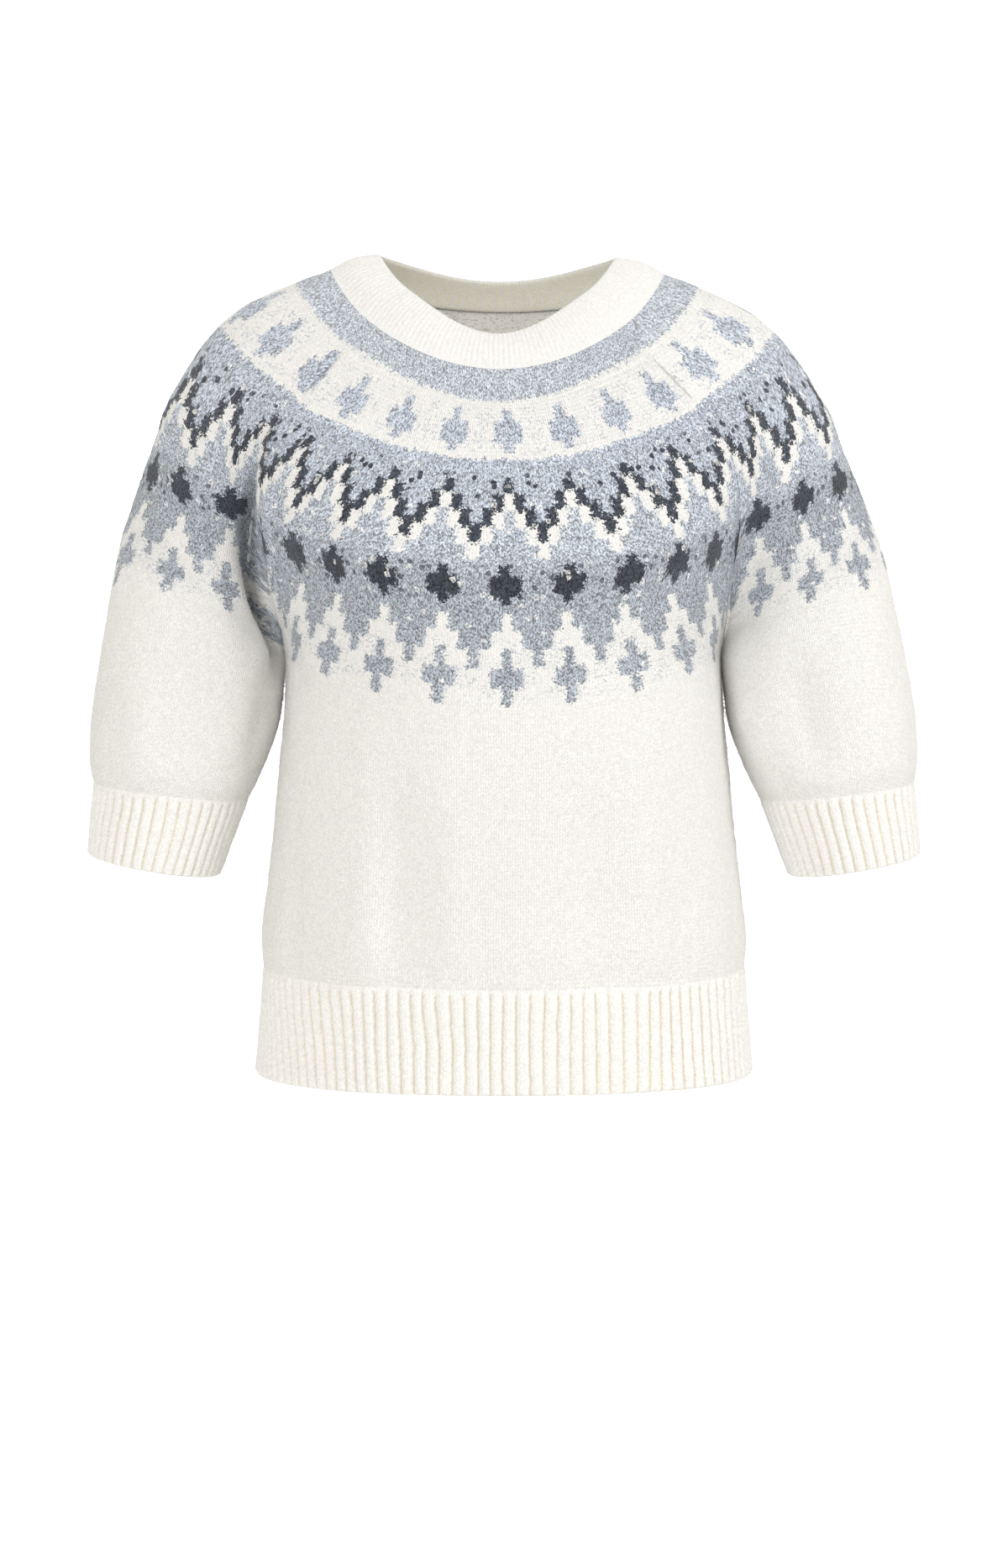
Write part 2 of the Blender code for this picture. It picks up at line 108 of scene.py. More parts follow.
# Folds that run down the cloth: where across, how far down they start and end, how wide in the measure of
# across, and how deep.
folds = {
    "front": [
        (-0.22, 290, 470, 0.13, 4.5),
        (0.30, 300, 475, 0.12, 3.0),
        (-0.62, 370, 470, 0.10, 3.0),
    ],
    "back": [
        (0.26, 285, 470, 0.13, 4.0),
        (-0.34, 300, 475, 0.12, 3.5),
        (0.66, 360, 470, 0.10, 3.0),
    ],
    "left": [
        (0.42, 235, 365, 0.13, 3.5),
        (1.52, 240, 360, 0.13, 3.0),
    ],
    "right": [
        (0.40, 240, 360, 0.12, 3.0),
        (1.55, 235, 365, 0.13, 3.5),
    ],
}

# Soft creases: from one place (across, knit) to another, half width in mm, and height in mm,
# under 0 for a trough and over 0 for a ridge.
creases = {
    "front": [
        (-0.93, 205, -0.66, 262, 9, -1.6),
        (-0.97, 225, -0.80, 318, 8, -1.4),
        (-0.90, 190, -0.72, 226, 8, 1.0),
        (0.94, 210, 0.72, 270, 9, -1.4),
        (0.97, 228, 0.86, 322, 8, -1.2),
        (0.90, 196, 0.70, 232, 8, 0.9),
        (-0.44, 345, -0.40, 446, 10, 1.1),
        (0.06, 335, 0.04, 448, 12, 1.3),
        (0.52, 372, 0.55, 449, 9, -1.1),
        (0.80, 392, 0.78, 448, 8, -1.0),
        (-0.80, 380, -0.83, 447, 8, -1.1),
        (-0.06, 410, -0.07, 450, 6, -0.9),
        (0.42, 418, 0.42, 450, 6, 0.8),
        (-0.17, 240, -0.15, 505, 15, 3.0),
        (-0.33, 250, -0.31, 505, 13, -3.1),
        (0.27, 245, 0.28, 505, 14, -3.4),
        (0.43, 250, 0.43, 505, 14, 3.2),
        (-0.70, 330, -0.66, 462, 10, -1.8),
        (-0.95, 112, -0.955, 232, 7, 3.6),
        (0.94, 132, 0.95, 222, 8, 1.2),
    ],
    "back": [
        (-0.93, 205, -0.62, 258, 9, -1.6),
        (-0.96, 226, -0.84, 312, 8, -1.2),
        (0.94, 208, 0.68, 266, 9, -1.5),
        (0.97, 228, 0.82, 330, 8, -1.3),
        (-0.05, 330, -0.02, 446, 12, 1.2),
        (0.46, 350, 0.44, 448, 9, 1.0),
        (-0.60, 374, -0.57, 449, 9, -1.1),
        (0.12, 412, 0.12, 450, 6, -0.9),
        (-0.82, 396, -0.80, 449, 8, -1.0),
    ],
    "left": [
        (0.10, 128, 0.15, 246, 12, -2.0),
        (0.41, 250, 0.44, 372, 13, -3.2),
        (0.20, 252, 0.22, 385, 15, 3.0),
        (0.10, 190, 0.34, 262, 9, -1.5),
        (0.16, 262, 0.24, 350, 9, 1.0),
        (0.62, 300, 0.60, 366, 8, 1.2),
        (0.84, 318, 0.84, 368, 7, -0.9),
        (1.86, 196, 1.66, 266, 9, -1.4),
        (1.30, 300, 1.32, 366, 8, -1.0),
        (1.74, 310, 1.76, 368, 7, 0.9),
    ],
    "right": [
        (1.957, 80, 1.905, 278, 13, -19.0),
        (1.86, 215, 1.80, 352, 14, -3.0),
        (1.66, 130, 1.60, 262, 13, 2.4),
        (1.90, 190, 1.68, 260, 9, -1.6),
        (1.84, 268, 1.78, 356, 9, -1.2),
        (1.38, 296, 1.40, 366, 8, 1.1),
        (1.12, 322, 1.12, 368, 7, -0.9),
        (0.12, 194, 0.32, 262, 9, -1.4),
        (0.66, 304, 0.64, 366, 8, -1.0),
        (0.22, 312, 0.24, 368, 7, 0.9),
    ],
}
# how folds and creases fade out: in mm at a fold's start and end and at seams, and as a share of a crease
fading = {"start": 60, "end": 35, "seam": 7, "creaseEnds": 0.4}


def ease(value):
    value = np.clip(value, 0.0, 1.0)
    return value * value * (3.0 - 2.0 * value)


def onBody(side):
    return side in ("front", "back")


def spanOf(side):
    # across at a piece's two seams
    return (-1.0, 1.0) if onBody(side) else (0.0, 2.0)


def asideOf(side, across):
    # 0 down the middle of a piece, 1 at its seams
    return np.abs(across if onBody(side) else across - 1.0)


def reachOf(side, knit):
    # mm from a piece's middle to its seam
    return np.interp(knit, *form["bodyReach" if onBody(side) else "sleeveReach"])[:, None]


def toSeamOf(side, across, knit):
    # mm from each place to the nearer seam
    return (1 - asideOf(side, across))[None, :] * reachOf(side, knit)


def bezier(handles, t):
    a, b, c, d = handles
    t = np.asarray(t, float)[:, None]
    u = 1.0 - t
    return a * u ** 3 + b * (3 * u * u * t) + c * (3 * u * t * t) + d * t ** 3


def arcPoints(start, startTurn, startClimb, end, endTurn, endClimb, shares, fullness=1.0):
    # points at shares of the length of a smooth arc, which bends as an ellipse does
    start, end = np.array(start, float), np.array(end, float)
    first, last = math.radians(startTurn), math.radians(endTurn)
    bend = last - first
    across, along = end[0] - start[0], end[1] - start[1]
    if bend > math.radians(100):             # past a quarter turn, both ends reach equally far
        startReach = endReach = math.hypot(across, along) / (3 * math.cos(bend / 4) ** 2)
    else:
        part = 4 / 3 * math.tan(bend / 4) / math.tan(bend / 2)
        startReach = part * (across * math.sin(last) - along * math.cos(last)) / math.sin(bend)
        endReach = part * (along * math.cos(first) - across * math.sin(first)) / math.sin(bend)
    leave = np.array([math.cos(first), math.sin(first), startClimb])
    arrive = np.array([math.cos(last), math.sin(last), endClimb])
    handles = (start, start + leave * startReach * fullness, end - arrive * endReach * fullness, end)
    t = np.linspace(0, 1, form["arcSteps"])
    line = bezier(handles, t)
    run = np.concatenate(([0.0], np.cumsum(np.linalg.norm(np.diff(line, axis=0), axis=1))))
    return bezier(handles, np.interp(np.asarray(shares, float) * run[-1], run, t))


def bodyColumns(side, across):
    rows = []
    shares = np.abs(across)
    for row in yokeRounds:
        face = getattr(row, side)
        rows.append(arcPoints((0, face.centreY, face.centreZ), 0, 0, (face.seamX, face.seamY, face.seamZ),
                              face.bodyTurn, face.climb, shares))
    for row in bodyLevels:
        y, z = (row.frontY, row.frontZ) if side == "front" else (row.backY, row.backZ)
        rows.append(arcPoints((0, y, z), 0, 0, (row.sideX, 0, row.sideZ), 90, 0, shares,
                              form["bodyRoundness"]))
    points = np.array(rows)
    points[:, :, 0] *= np.sign(across)
    if side == "back":
        points[:, :, :2] *= -1
    return np.array([row.knit for row in yokeRounds + bodyLevels], float), points


def sleeveColumns(side, across):
    around = 2.0 - across if side == "right" else across
    halves = []
    for faceName in ("front", "back"):
        shares = np.clip(around if faceName == "front" else 2.0 - around, 0, 1)
        made = []
        for row in yokeRounds:
            face = getattr(row, faceName)
            made.append(arcPoints((face.seamX, face.seamY, face.seamZ), face.sleeveTurn, face.climb,
                                  (row.topX, 0, row.topZ), 90, 0, shares,
                                  form["sleeveRoundness"].get(row.knit, 1.0)))
        for row in sleeveRings:
            middle = row.middleY if faceName == "front" else -row.middleY
            roundness = 2 * (row.halfDepth - middle) / (row.outerX - row.innerX)
            made.append(arcPoints((row.innerX, 0, row.innerZ), -90, 0, (row.outerX, 0, row.outerZ), 90, 0,
                                  shares, roundness))
        halves.append(np.array(made))
    front, back = halves
    back[:, :, 1] *= -1
    points = np.where((around <= 1.0)[None, :, None], front, back)
    if side == "right":
        points[:, :, 0] *= -1
    return np.array([row.knit for row in yokeRounds + sleeveRings], float), points


def plainSurface(side, across, knit):
    # the cloth's outer face without folds: one row of points for each depth of knitting
    knots, points = (bodyColumns if onBody(side) else sleeveColumns)(side, across)
    corner = asideOf(side, across)[:, None] ** form["cornerSpread"]
    straight = np.diff(points, axis=0) / np.diff(knots)[:, None, None]
    share = ((knots[1:-1] - knots[:-2]) / (knots[2:] - knots[:-2]))[:, None, None]
    smooth = straight[:-1] * (1 - share) + straight[1:] * share
    leaving = np.concatenate((straight[:1], smooth))
    reaching = np.concatenate((smooth, straight[-1:]))
    turn = int(np.where(knots == form["underarm"])[0][0])     # the cloth turns a corner in the armpit
    leaving[turn] = leaving[turn] * (1 - corner) + straight[turn] * corner
    reaching[turn - 1] = reaching[turn - 1] * (1 - corner) + straight[turn - 1] * corner
    step = np.clip(np.searchsorted(knots, knit, side="left"), 1, len(knots) - 1) - 1
    span = (knots[step + 1] - knots[step])[:, None, None]
    t = ((knit - knots[step])[:, None, None]) / span
    made = (points[step] * (2 * t ** 3 - 3 * t * t + 1) + leaving[step] * span * (t ** 3 - 2 * t * t + t)
            + points[step + 1] * (3 * t * t - 2 * t ** 3) + reaching[step] * span * (t ** 3 - t * t))
    settle = ease((made[:, :, 2] - form["settleStart"]) / form["settleHeight"])
    made[:, :, 2] -= form["shoulderTilt"] * made[:, :, 0] * settle
    made[:, :, 0] += form["shoulderShift"] * settle
    return made


def outwardOf(side, across, knit):
    # the way that the cloth's outer face looks
    first, last = spanOf(side)
    near = form["nearby"]
    after, before = across + near, across - near
    roundWay = plainSurface(side, np.clip(after, first, last), knit) \
        - plainSurface(side, np.clip(before, first, last), knit)
    if not onBody(side):
        closed = plainSurface(side, after % 2.0, knit) - plainSurface(side, before % 2.0, knit)
        roundWay = np.where((knit > form["underarm"])[:, None, None], closed, roundWay)
    lowest = form["hemEdge" if onBody(side) else "cuffEdge"]
    downWay = plainSurface(side, across, np.minimum(knit + 1, lowest)) \
        - plainSurface(side, across, np.maximum(knit - 1, form["neckEdge"]))
    out = np.cross(downWay, roundWay)
    return out / np.linalg.norm(out, axis=2, keepdims=True)


def foldHeight(side, across, knit):
    down, wide = knit[:, None], across[None, :]
    height = np.zeros((len(knit), len(across)))
    for middle, start, end, width, depth in folds[side]:
        along = ease((down - start) / fading["start"]) * ease((end - down) / fading["end"])
        height -= depth * along * np.exp(-((wide - middle) / width) ** 2)
    reach = reachOf(side, knit)
    held = ease(toSeamOf(side, across, knit) / fading["seam"])
    for fromAcross, fromKnit, toAcross, toKnit, width, rise in creases[side]:
        x, y = (wide - fromAcross) * reach, down - fromKnit
        dx, dy = (toAcross - fromAcross) * reach, float(toKnit - fromKnit)
        run = dx * dx + dy * dy
        share = (x * dx + y * dy) / run
        aside = (x * dy - y * dx) / np.sqrt(run)
        taper = ease(share / fading["creaseEnds"]) * ease((1.0 - share) / fading["creaseEnds"])
        height += rise * taper * held * np.exp(-(aside / width) ** 2)
    return height


def softNoise(x, y, seed):
    # smooth hills and hollows, -1 to 1, one for each unit of x and y
    x, y = np.broadcast_arrays(np.asarray(x, float), np.asarray(y, float))
    size = 128
    lattice = np.random.default_rng(seed).uniform(-1, 1, (size, size))
    xi, yi = np.floor(x).astype(int), np.floor(y).astype(int)
    fx, fy = ease(x - xi), ease(y - yi)
    here, right = lattice[xi % size, yi % size], lattice[(xi + 1) % size, yi % size]
    below, belowRight = lattice[xi % size, (yi + 1) % size], lattice[(xi + 1) % size, (yi + 1) % size]
    return (here * (1 - fx) + right * fx) * (1 - fy) + (below * (1 - fx) + belowRight * fx) * fy


# The pattern: where its repeats stand round the yoke. u counts repeats, whole at the middle of a motif, and
# v is the depth of knitting in mm. front gives u at nine even places from seam to seam, and left and right
# at five even places from the front seam to the top of that sleeve. backShare is the part of the rest of
# the ring that lies on the back half of one sleeve.
repeatLevel = namedtuple("repeatLevel", "v front left right backShare")
patternBands = {
    "diamonds": {
        "until": 72,
        "repeats": 25,
        "levels": [
            repeatLevel(46, (-3.86, -2.95, -2.03, -1.10, -0.17, 0.70, 1.59, 2.53, 3.49),
                        (3.49, 4.09, 4.71, 5.33, 5.95), (-3.90, -4.54, -5.16, -5.78, -6.40), 0.220),
        ],
    },
    "peaks": {
        "until": 139,
        "repeats": 29,
        "levels": [
            repeatLevel(84, (-4.92, -3.62, -2.31, -1.19, -0.16, 0.86, 1.87, 2.99, 4.13),
                        (4.13, 4.98, 5.79, 6.46, 7.09), (-4.92, -5.80, -6.44, -7.00, -7.50), 0.215),
            repeatLevel(122, (-4.50, -3.24, -2.04, -1.06, -0.14, 0.86, 1.78, 2.84, 4.07),
                        (4.07, 5.31, 6.00, 6.67, 7.36), (-4.55, -5.95, -6.62, -7.20, -7.80), 0.207),
        ],
    },
    "dots": {
        "until": 246,
        "repeats": 34,
        "levels": [
            repeatLevel(152, (-5.00, -3.76, -2.30, -1.19, -0.05, 1.01, 2.11, 3.46, 4.98),
                        (5.65, 6.55, 7.41, 8.22, 9.00), (-5.45, -6.25, -7.00, -8.02, -8.90), 0.213),
            repeatLevel(174, (-5.20, -4.06, -2.51, -1.24, -0.08, 1.16, 2.41, 3.79, 5.05),
                        (5.55, 6.52, 7.58, 8.52, 9.30), (-5.40, -6.28, -7.25, -8.15, -9.00), 0.224),
            repeatLevel(219, (-5.05, -3.78, -2.51, -1.25, -0.06, 1.22, 2.37, 3.58, 4.97),
                        (5.35, 6.23, 7.22, 8.24, 9.15), (-5.05, -5.90, -6.83, -7.75, -8.65), 0.237),
        ],
    },
}
# cells of the chart in a repeat, knit stitches in a cell, a course's height and a cell's width in mm, and
# the cells across half of the plain cloth of the body and of a sleeve
stitch = {"perRepeat": 6, "perCell": 2, "course": 2.65, "cell": 6.9, "bodyWales": 33, "sleeveWales": 29}

# The rings of the pattern hang a little lower or higher than the rounds of knitting: plus is how much
# further down a place reads, and perSide what each share of the way to the seams adds, both in mm.
ringDrop = namedtuple("ringDrop", "knit plus perSide")
ringDrops = {
    "body": ringDrop((46, 86, 130, 152, 173, 219), (3, 3.5, 1.5, 1.5, 0, 3.5), (-9, -4.5, -6, 2, 2.5, -3)),
    "sleeve": ringDrop((46, 82, 125, 146, 161, 204), (0, 5, -1, -4, -6, -14), (0, 0, 9, 23, 34, 54)),
    "start": 22,
    "fade": 10,
    "seamHold": 16,              # the higher, the closer to the seams a ring comes back to its round
}


def levelStations(side, level, repeats):
    front, left, right = level.front, level.left, level.right
    rest = repeats - (left[-1] - right[-1])
    leftBack = left[-1] + rest * level.backShare
    rightBack = left[-1] + rest * (1 - level.backShare)
    if side == "front":
        return np.linspace(-1, 1, len(front)), front
    if side == "left":
        return (0, 0.25, 0.5, 0.75, 1, 2), (*left, leftBack)
    if side == "back":
        return (-1, 1), (leftBack, rightBack)
    turned = [repeats + value for value in reversed(right)]
    return (0, 1, 1.25, 1.5, 1.75, 2), (rightBack, *turned)


def repeatsAt(side, across, v, band):
    levels = band["levels"]
    lines = np.array([np.interp(across, *levelStations(side, level, band["repeats"])) for level in levels])
    if len(levels) == 1:
        return np.broadcast_to(lines[0], v.shape)
    depths = np.array([level.v for level in levels], float)
    step = np.clip(np.searchsorted(depths, v) - 1, 0, len(depths) - 2)
    # below the lowest level a motif's lines run on for a little
    share = np.clip((v - depths[step]) / (depths[step + 1] - depths[step]), 0, 1.6)
    column = np.broadcast_to(np.arange(len(across)), v.shape)
    return lines[step, column] * (1 - share) + lines[step + 1, column] * share


def patternDepth(side, across, knit):
    v = np.broadcast_to(knit[:, None], (len(knit), len(across))).astype(float)
    if side == "back":
        return v
    drops = ringDrops["body" if side == "front" else "sleeve"]
    aside = asideOf(side, across)[None, :]
    plus = np.interp(knit, drops.knit, drops.plus)[:, None]
    perSide = np.interp(knit, drops.knit, drops.perSide)[:, None]
    started = ease((knit - ringDrops["start"]) / ringDrops["fade"])[:, None]
    return v + (plus + perSide * aside) * (started * (1 - aside ** ringDrops["seamHold"]))


def fourCorners(grid):
    # what a grid says at the corners of each of its faces, anticlockwise
    return np.stack((grid[:-1, :-1], grid[1:, :-1], grid[1:, 1:], grid[:-1, 1:]), axis=2)


def patternUv(side, across, knit):
    # (repeats, depth) at each corner: whole faces belong to one band, so that no motif is smeared
    v = patternDepth(side, across, knit)
    wales = across * stitch["bodyWales" if onBody(side) else "sleeveWales"]
    plain = np.broadcast_to(wales[None, :] / stitch["perRepeat"], v.shape)
    choices = [repeatsAt(side, across, v, band) for band in patternBands.values()] + [plain]
    depths = fourCorners(v)
    use = np.digitize(depths.sum(axis=2) / 4, [band["until"] for band in patternBands.values()])
    repeats = np.choose(use[:, :, None], [fourCorners(choice) for choice in choices])
    return np.stack((repeats, depths), axis=3)


def evenUv(columns, knit):
    # the same for a ribbed piece, whose columns count its ribs
    return fourCorners(np.stack((columns, np.broadcast_to(knit[:, None], columns.shape)), axis=2))


coarser = 4                      # a wall's inner skin has one row and column for each four of the outer one


def edgeFaces(outer, inner, flipped):
    # triangles between an edge's outer points and its fewer inner ones
    faces = []
    for step in range(len(inner) - 1):
        start = step * coarser
        middle = start + coarser // 2
        for here in range(start, start + coarser):
            faces.append((outer[here], outer[here + 1], inner[step if here < middle else step + 1]))
        faces.append((outer[middle], inner[step + 1], inner[step]))
    return [face[::-1] for face in faces] if flipped else faces


def linkPiece(name, mesh, finishes):
    for finish in finishes:
        mesh.materials.append(finish)
    piece = bpy.data.objects.new(name, mesh)
    bpy.context.scene.collection.objects.link(piece)
    return piece


def buildWall(name, outer, inner, closedFrom, outerUv, innerUv, finishes, seams, paintedShade=None):
    # closedFrom is the row from which the last column joins the first: None for an open panel.
    # seams are the rows (0 or -1) that meet another piece, where the shading stops at the wall's edge.
    # the last argument gives how much painted shade each point of the outer skin gets, 0 to 1, deep in a
    # fold or along a seam's line; the finish darkens it there.
    rows, columns = outer.shape[:2]
    innerRows, innerColumns = inner.shape[:2]
    outerCount = rows * columns
    outerIds = np.arange(outerCount).reshape(rows, columns)
    innerIds = np.arange(innerRows * innerColumns).reshape(innerRows, innerColumns) + outerCount
    if closedFrom is not None:
        innerFrom = closedFrom // coarser
        outerIds[closedFrom:, -1] = outerIds[closedFrom:, 0]
        innerIds[innerFrom:, -1] = innerIds[innerFrom:, 0]
    outerFaces = fourCorners(outerIds).reshape(-1, 4)
    innerFaces = fourCorners(innerIds).reshape(-1, 4)[:, ::-1]
    rim = edgeFaces(outerIds[0], innerIds[0], False) + edgeFaces(outerIds[-1], innerIds[-1], True)
    openRows = rows - 1 if closedFrom is None else closedFrom
    upTo, innerUpTo = openRows + 1, openRows // coarser + 1
    if openRows:
        rim += edgeFaces(outerIds[:upTo, 0], innerIds[:innerUpTo, 0], True)
        rim += edgeFaces(outerIds[:upTo, -1], innerIds[:innerUpTo, -1], False)
    points = np.concatenate((outer.reshape(-1, 3), inner.reshape(-1, 3))) * mm
    quads = np.concatenate((outerFaces, innerFaces))
    cornerUvs = np.concatenate((outerUv.reshape(-1, 2), innerUv[:, :, ::-1].reshape(-1, 2)))
    uvOf = np.zeros((len(points), 2))
    uvOf[quads.reshape(-1)] = cornerUvs
    mesh = bpy.data.meshes.new(name)
    mesh.from_pydata(points.tolist(), [], quads.tolist() + rim)
    uvs = np.concatenate((cornerUvs, uvOf[np.array(rim).reshape(-1)]))
    mesh.uv_layers.new(name="knit").data.foreach_set("uv", uvs.ravel())
    if paintedShade is not None:
        depths = np.zeros(len(points))
        depths[:outerCount] = paintedShade.ravel()
        mesh.attributes.new("paintedShade", "FLOAT", "POINT").data.foreach_set("value", depths)
    slots = np.zeros(len(mesh.polygons), int)
    slots[len(outerFaces):len(quads)] = 1
    mesh.polygons.foreach_set("material_index", slots)
    mesh.polygons.foreach_set("use_smooth", np.ones(len(mesh.polygons), bool))
    onEdge = np.zeros(len(points), bool)
    for ids, last in ((outerIds, upTo), (innerIds, innerUpTo)):
        onEdge[ids[list(seams)]] = True
        if openRows:
            onEdge[ids[:last, [0, -1]]] = True
    ends = np.empty(len(mesh.edges) * 2, int)
    mesh.edges.foreach_get("vertices", ends)
    ends = ends.reshape(-1, 2)
    sameSkin = (ends[:, 0] < outerCount) == (ends[:, 1] < outerCount)
    mesh.edges.foreach_set("use_edge_sharp", onEdge[ends].all(axis=1) & sameSkin)
    if closedFrom is not None:
        # the last column's own points are left over where it joins the first
        work = bmesh.new()
        work.from_mesh(mesh)
        bmesh.ops.delete(work, geom=[v for v in work.verts if not v.link_faces], context="VERTS")
        work.to_mesh(mesh)
        work.free()
    mesh.update()
    return linkPiece(name, mesh, finishes)


# The finish: brushed melange yarn. Each yarn has a colour, and how strongly it is mottled.
yarns = {
    "cream": ((0.903, 0.892, 0.868), 0.065),
    "nap": ((0.903, 0.892, 0.868), 0.0),
    # painted shade: the neckband's cream made a little darker than the cream yarn, against the stronger
    # light that falls on it
    "neck": ((0.848, 0.842, 0.828), 0.065),
    "mist": ((0.565, 0.606, 0.668), 0.50),
    "blue": ((0.500, 0.545, 0.625), 0.52),
    "pale": ((0.510, 0.553, 0.625), 0.52),
    "dark": ((0.055, 0.065, 0.086), 0.60),
    # the yoke's inside: its own pale tone, partly painted light, lighter than the cream yarn itself, for the
    # shade it lies in
    "yokeInside": ((0.970, 0.962, 0.930), 0.16),
    # painted shade: the cream yarn inside the ribs, made a warm tan for the shade it lies in
    "ribInside": ((0.965, 0.885, 0.690), 0.13),
}
look = {
    "strands": (0.270, 0.290, 0.320),        # what shows of carried yarn on the inside
    "furrow": (0.820, 0.755, 0.650),         # painted shade between two ribs
    # painted shade: warmer yarn in the neckband's furrows
    "neckFurrow": (0.870, 0.845, 0.795),
    # painted highlight along the raised ribs on the inside
    "insideRibHighlight": (0.995, 0.965, 0.880),
    "lowerShade": 0.79,          # what the blue's brightness falls to in the lower half of the pattern
    "paintedShadeLevel": 0.50,         # and any yarn's deep in a fold or along a seam's line, as painted shade
    "ragged": 11.0,              # mm by which the brushed motifs' edges wander, in all
    "ruffle": 4.2,               # and stitch by stitch
    "reliefDepth": 0.0008,
    "insideGlow": 0.95,          # on the inside the loose knit glows with the light that falls outside
}
woolShader = {
    "Roughness": 0.92,
    "Specular IOR Level": 0.15,
    "Sheen Weight": 0.25,
    "Sheen Roughness": 0.55,
    "Subsurface Radius": (1.0, 0.9, 0.75),
    "Subsurface Scale": 0.016,
}

# Each list gives, for the columns 0, 1, 2 and 3 cells from the middle of a motif, the yarn from that depth
# of knitting on. A cell of the chart is two stitches wide.
chart = {
    0: [(0, "mist"), (22, "cream"), (29.2, "blue"), (60.4, "cream"), (65.4, "blue"), (81.2, "dark"),
        (90.6, "cream"), (103, "pale"), (141, "dark"), (168, "pale"), (174.4, "cream"), (201, "pale"),
        (243, "cream")],
    1: [(0, "mist"), (22, "cream"), (39.3, "blue"), (54.3, "cream"), (65.4, "blue"), (90.6, "dark"),
        (102.6, "cream"), (114.6, "pale"), (148.8, "dark"), (162.6, "pale"),
        (187.5, "cream"), (215.1, "pale"), (229.8, "cream")],
    2: [(0, "mist"), (22, "cream"), (65.4, "blue"), (101, "dark"), (113.4, "cream"), (126, "pale"),
        (202, "cream")],
    3: [(0, "mist"), (22, "cream"), (65.4, "blue"), (110.7, "dark"), (123.6, "cream"), (137, "pale"),
        (216, "cream")],
}
chartDepth = 256.0               # the depth that a ramp's whole length stands for


class nodeValue:
    # what a node puts out, which can be added, multiplied and so on as a number can

    def __init__(self, maker, socket):
        self.maker = maker
        self.socket = socket

    def other(self, name):
        # another output of the same node
        return nodeValue(self.maker, self.socket.node.outputs[name])

    def __add__(self, value):
        return self.maker.math("ADD", self, value)

    def __sub__(self, value):
        return self.maker.math("SUBTRACT", self, value)

    def __rsub__(self, value):
        return self.maker.math("SUBTRACT", value, self)

    def __mul__(self, value):
        return self.maker.math("MULTIPLY", self, value)

    def __truediv__(self, value):
        return self.maker.math("DIVIDE", self, value)

    def __lt__(self, value):
        return self.maker.math("LESS_THAN", self, value)

    def __gt__(self, value):
        return self.maker.math("GREATER_THAN", self, value)

    def __abs__(self):
        return self.maker.math("ABSOLUTE", self)


class nodeMaker:
    # short ways to add and join the nodes of one tree

    def __init__(self, tree):
        self.tree = tree

    def put(self, socket, value):
        if isinstance(value, nodeValue):
            self.tree.links.new(value.socket, socket)
        elif isinstance(value, tuple) and socket.type == "RGBA":
            socket.default_value = (*value, 1.0)
        else:
            socket.default_value = value

    def add(self, kind, given=None, output=0, **settings):
        node = self.tree.nodes.new(kind)
        for key, value in settings.items():
            setattr(node, key, value)
        for name, value in (given or {}).items():
            self.put(node.inputs[name], value)
        return nodeValue(self, node.outputs[output])

    def math(self, operation, *values):
        return self.add("ShaderNodeMath", dict(enumerate(values)), operation=operation)

    def noise(self, vector, scale, detail=2.0, roughness=0.5):
        given = {"Vector": vector, "Scale": scale, "Detail": detail, "Roughness": roughness}
        return self.add("ShaderNodeTexNoise", given, "Fac")

    def vector(self, x, y, z=0.0):
        return self.add("ShaderNodeCombineXYZ", {"X": x, "Y": y, "Z": z})

    def parts(self, vector):
        x = self.add("ShaderNodeSeparateXYZ", {0: vector})
        return x, x.other("Y"), x.other("Z")

    def mix(self, factor, first, second):
        given = {"Factor": factor, "A": first, "B": second}
        return self.add("ShaderNodeMix", given, "Result", data_type="RGBA")

    def scaled(self, color, level):
        return self.add("ShaderNodeVectorMath", {0: color, "Scale": level}, operation="SCALE")

    def between(self, value, low, high, newLow=0.0, newHigh=1.0):
        # newLow where the value is low, newHigh where it is high, and smooth steps between
        given = dict(enumerate((value, low, high, newLow, newHigh)))
        return self.add("ShaderNodeMapRange", given, interpolation_type="SMOOTHSTEP")

    def within(self, value, start, whole, fading, end):
        return self.between(value, start, whole) * self.between(value, end, fading)


def newGroup(name, inputs, outputs):
    group = bpy.data.node_groups.new(name, "ShaderNodeTree")
    for socketName, kind, value in inputs:
        socket = group.interface.new_socket(socketName, in_out="INPUT", socket_type=kind)
        if value is not None:
            socket.default_value = value
    for socketName, kind in outputs:
        group.interface.new_socket(socketName, in_out="OUTPUT", socket_type=kind)
    n = nodeMaker(group)
    given = [nodeValue(n, socket) for socket in group.nodes.new("NodeGroupInput").outputs[:len(inputs)]]
    return group, n, given, group.nodes.new("NodeGroupOutput").inputs


